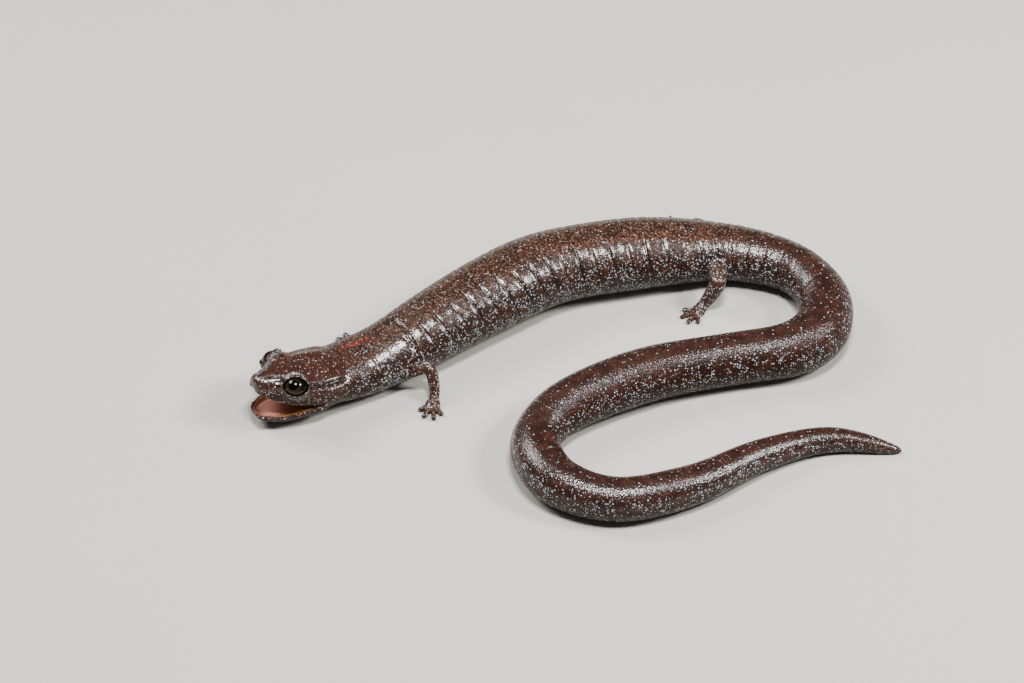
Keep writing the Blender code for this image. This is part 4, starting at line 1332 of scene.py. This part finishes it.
def fleck_tree(material):
    """Geometry Nodes: flat silver grains strewn over a surface by its own density mark."""
    tree = bpy.data.node_groups.new("strewn_flecks", "GeometryNodeTree")
    face = tree.interface
    face.new_socket("Geometry", in_out="INPUT", socket_type="NodeSocketGeometry")
    for name, kind in (("Per square metre", "Float"), ("Radius", "Float"), ("Seed", "Int")):
        face.new_socket(name, in_out="INPUT", socket_type="NodeSocket" + kind)
    face.new_socket("Geometry", in_out="OUTPUT", socket_type="NodeSocketGeometry")
    given = add_node(tree, "NodeGroupInput")
    marked = add_node(tree, "GeometryNodeInputNamedAttribute", {}, {"Name": "fleck_density"})["Attribute"]
    clusters = add_node(tree, "ShaderNodeTexNoise", {}, {"Scale": 1.2 / MM, "Detail": 2.0})["Fac"]
    clusters = {"Value": clusters, "From Min": 0.38, "From Max": 0.62, "To Min": 0.25, "To Max": 1.5}
    density = given["Per square metre"]
    for factor in (marked, add_node(tree, "ShaderNodeMapRange", {}, clusters)[0]):
        density = add_node(tree, "ShaderNodeMath", {"operation": "MULTIPLY"}, {0: density, 1: factor})[0]
    strewn = {"Mesh": given["Geometry"], "Density": density, "Seed": given["Seed"]}
    strewn = add_node(tree, "GeometryNodeDistributePointsOnFaces", {}, strewn)
    grain = add_node(tree, "GeometryNodeMeshIcoSphere", {}, {"Subdivisions": 1, "Radius": 1.0})["Mesh"]
    stretch = {0: (0.35, 0.35, 0.10), 1: (0.9, 1.3, 0.16), "Seed": given["Seed"]}
    stretch = add_node(tree, "FunctionNodeRandomValue", {"data_type": "FLOAT_VECTOR"}, stretch)[0]
    size = {0: stretch, "Scale": given["Radius"]}
    size = add_node(tree, "ShaderNodeVectorMath", {"operation": "SCALE"}, size)[0]
    spin = add_node(tree, "FunctionNodeRandomValue", {"data_type": "FLOAT"}, {2: 0.0, 3: 2 * math.pi})[1]
    spin = add_node(tree, "ShaderNodeCombineXYZ", {}, {"Z": spin})[0]
    turned = {"Rotation": strewn["Rotation"], "Rotate By": spin}
    turned = add_node(tree, "FunctionNodeRotateRotation", {"rotation_space": "LOCAL"}, turned)[0]
    grains = {"Points": strewn["Points"], "Instance": grain, "Rotation": turned, "Scale": size}
    grains = add_node(tree, "GeometryNodeInstanceOnPoints", {}, grains)[0]
    real = add_node(tree, "GeometryNodeRealizeInstances", {}, {"Geometry": grains})[0]
    coloured = add_node(tree, "GeometryNodeSetMaterial", {}, {"Geometry": real, "Material": material})[0]
    add_node(tree, "NodeGroupOutput", {}, {"Geometry": coloured})
    return tree


def baked(piece, tree, inputs):
    """The plain mesh that a node tree makes of a piece, with the tree's inputs set by name."""
    modifier = piece.modifiers.new("strewn", "NODES")
    modifier.node_group = tree
    for item in tree.interface.items_tree:
        if item.in_out == "INPUT" and item.name in inputs:
            modifier[item.identifier] = inputs[item.name]
    shown = piece.evaluated_get(bpy.context.evaluated_depsgraph_get())
    mesh = bpy.data.meshes.new_from_object(shown)
    piece.modifiers.remove(modifier)
    return mesh


class SalamanderSettings(bpy.types.PropertyGroup):
    """Sizes and colours of the animal and its stage."""

    groove_depth: bpy.props.FloatProperty(
        name="Groove depth", description="Depth of the folds between the ribs",
        default=0.16 * MM, min=0.0, max=0.4 * MM, unit="LENGTH", precision=5)
    fleck_radius: bpy.props.FloatProperty(
        name="Fleck radius", description="Radius of the largest silver flecks",
        default=0.044 * MM, min=0.02 * MM, max=0.3 * MM, unit="LENGTH", precision=5)
    flecks: bpy.props.FloatProperty(
        name="Flecks", description="Silver flecks in each square millimetre where they are thickest",
        default=7.5, min=0.0, max=20.0)
    seed: bpy.props.IntProperty(name="Seed", description="Chooses where the flecks fall", default=7)
    dark_colour: bpy.props.FloatVectorProperty(
        name="Dark skin", description="Darker ground of head and trunk", subtype="COLOR",
        default=to_linear("#28140D"))
    brown_colour: bpy.props.FloatVectorProperty(
        name="Brown skin", description="Lighter ground of head and trunk", subtype="COLOR",
        default=to_linear("#40251A"))
    tail_colour: bpy.props.FloatVectorProperty(
        name="Tail", description="Purplish ground of the tail", subtype="COLOR",
        default=to_linear("#3E2219"))
    back_colour: bpy.props.FloatVectorProperty(
        name="Back", description="Coppery wash along the back", subtype="COLOR",
        default=to_linear("#7A6452"))
    fleck_colour: bpy.props.FloatVectorProperty(
        name="Fleck colour", description="Pale, slightly blue silver", subtype="COLOR",
        default=to_linear("#B6C3CB"))
    floor_colour: bpy.props.FloatVectorProperty(
        name="Floor", description="Pale floor", subtype="COLOR", default=to_linear("#BDB9B1"))


class SALAMANDER_OT_skin(bpy.types.Operator):
    """Builds the whole skin as one closed surface"""

    bl_idname = "salamander.skin"
    bl_label = "Skin"

    def execute(self, context):
        settings = context.scene.salamander
        mesh = finished_skin(settings.groove_depth / MM)
        to_frame(mesh)
        skin = show("skin", mesh, skin_material(settings))
        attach(skin, "root")
        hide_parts(*[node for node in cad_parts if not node.startswith("eye")])
        return {"FINISHED"}


class SALAMANDER_OT_flecks(bpy.types.Operator):
    """Strews the larger silver flecks over the skin"""

    bl_idname = "salamander.flecks"
    bl_label = "Silver flecks"

    def execute(self, context):
        settings = context.scene.salamander
        material = fleck_material(settings)
        ground = bpy.data.objects.new("fleck_ground", bpy.data.objects["skin"].data.copy())
        context.scene.collection.objects.link(ground)
        inputs = {
            "Per square metre": settings.flecks / MM ** 2,
            "Radius": settings.fleck_radius,
            "Seed": settings.seed,
        }
        mesh = baked(ground, fleck_tree(material), inputs)
        bpy.data.objects.remove(ground)
        flecks = show("silver_flecks", mesh, material)
        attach(flecks, "root")
        return {"FINISHED"}


class SALAMANDER_OT_eyes(bpy.types.Operator):
    """Builds both eyes, deep in their lids"""

    bl_idname = "salamander.eyes"
    bl_label = "Eyes"

    def execute(self, context):
        material = eye_material()
        for name, sign in (("eye_left", 1.0), ("eye_right", -1.0)):
            mesh = eye_mesh(sign)
            to_frame(mesh)
            eye = show("wet_" + name, mesh, material)
            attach(eye, "root")
            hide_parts(name)
        return {"FINISHED"}


class SALAMANDER_OT_stage(bpy.types.Operator):
    """Sets a pale floor, soft lights and the camera"""

    bl_idname = "salamander.stage"
    bl_label = "Stage"

    def execute(self, context):
        scene = context.scene
        bm = bmesh.new()
        bmesh.ops.create_grid(bm, x_segments=1, y_segments=1, size=FLOOR_SIZE / 2)
        mesh = bpy.data.meshes.new("floor")
        bm.to_mesh(mesh)
        bm.free()
        show("floor", mesh, floor_material(scene.salamander))
        for name, (place, size, power) in LIGHTS.items():
            light = bpy.data.lights.new(name, "AREA")
            light.shape = "RECTANGLE"
            light.size, light.size_y = size
            light.energy = power
            lamp = bpy.data.objects.new(name, light)
            lamp.location = place
            lamp.rotation_euler = (-Vector(place)).to_track_quat("-Z", "Y").to_euler()
            scene.collection.objects.link(lamp)
        scene.world = bpy.data.worlds.new("soft_room")
        scene.world.use_nodes = True
        background = scene.world.node_tree.nodes["Background"]
        background.inputs["Color"].default_value = colour("#E4E9F0")
        background.inputs["Strength"].default_value = ROOM_LIGHT
        camera = bpy.data.cameras.new("camera")
        camera.lens = CAMERA_LENS
        camera.sensor_width = CAMERA_SENSOR
        camera.clip_start = CAMERA_NEAREST
        holder = bpy.data.objects.new("camera", camera)
        tilt = math.radians(CAMERA_TILT)
        x, y = (shift * MM for shift in FOOTPRINT_SHIFT)
        holder.location = (x, y - CAMERA_DISTANCE * math.sin(tilt), CAMERA_DISTANCE * math.cos(tilt))
        holder.rotation_euler = (tilt, 0.0, 0.0)
        scene.collection.objects.link(holder)
        scene.camera = holder
        return {"FINISHED"}


class SALAMANDER_PT_panel(bpy.types.Panel):
    """Lists the steps and settings of the model"""

    bl_idname = "SALAMANDER_PT_panel"
    bl_label = "Slender salamander"
    bl_space_type = "VIEW_3D"
    bl_region_type = "UI"
    bl_category = "Salamander"

    def draw(self, context):
        for step in STEPS:
            self.layout.operator(step.bl_idname)
        for name in SalamanderSettings.__annotations__:
            self.layout.prop(context.scene.salamander, name)


STEPS = (SALAMANDER_OT_skin, SALAMANDER_OT_flecks, SALAMANDER_OT_eyes, SALAMANDER_OT_stage)
CLASSES = (SalamanderSettings, *STEPS, SALAMANDER_PT_panel)


def register():
    for kind in CLASSES:
        bpy.utils.register_class(kind)
    bpy.types.Scene.salamander = bpy.props.PointerProperty(type=SalamanderSettings)


def unregister():
    del bpy.types.Scene.salamander
    for kind in reversed(CLASSES):
        bpy.utils.unregister_class(kind)


def main():
    register()
    bpy.ops.salamander.skin()
    bpy.ops.salamander.flecks()
    bpy.ops.salamander.eyes()
    bpy.ops.salamander.stage()


if __name__ == "__main__":
    main()
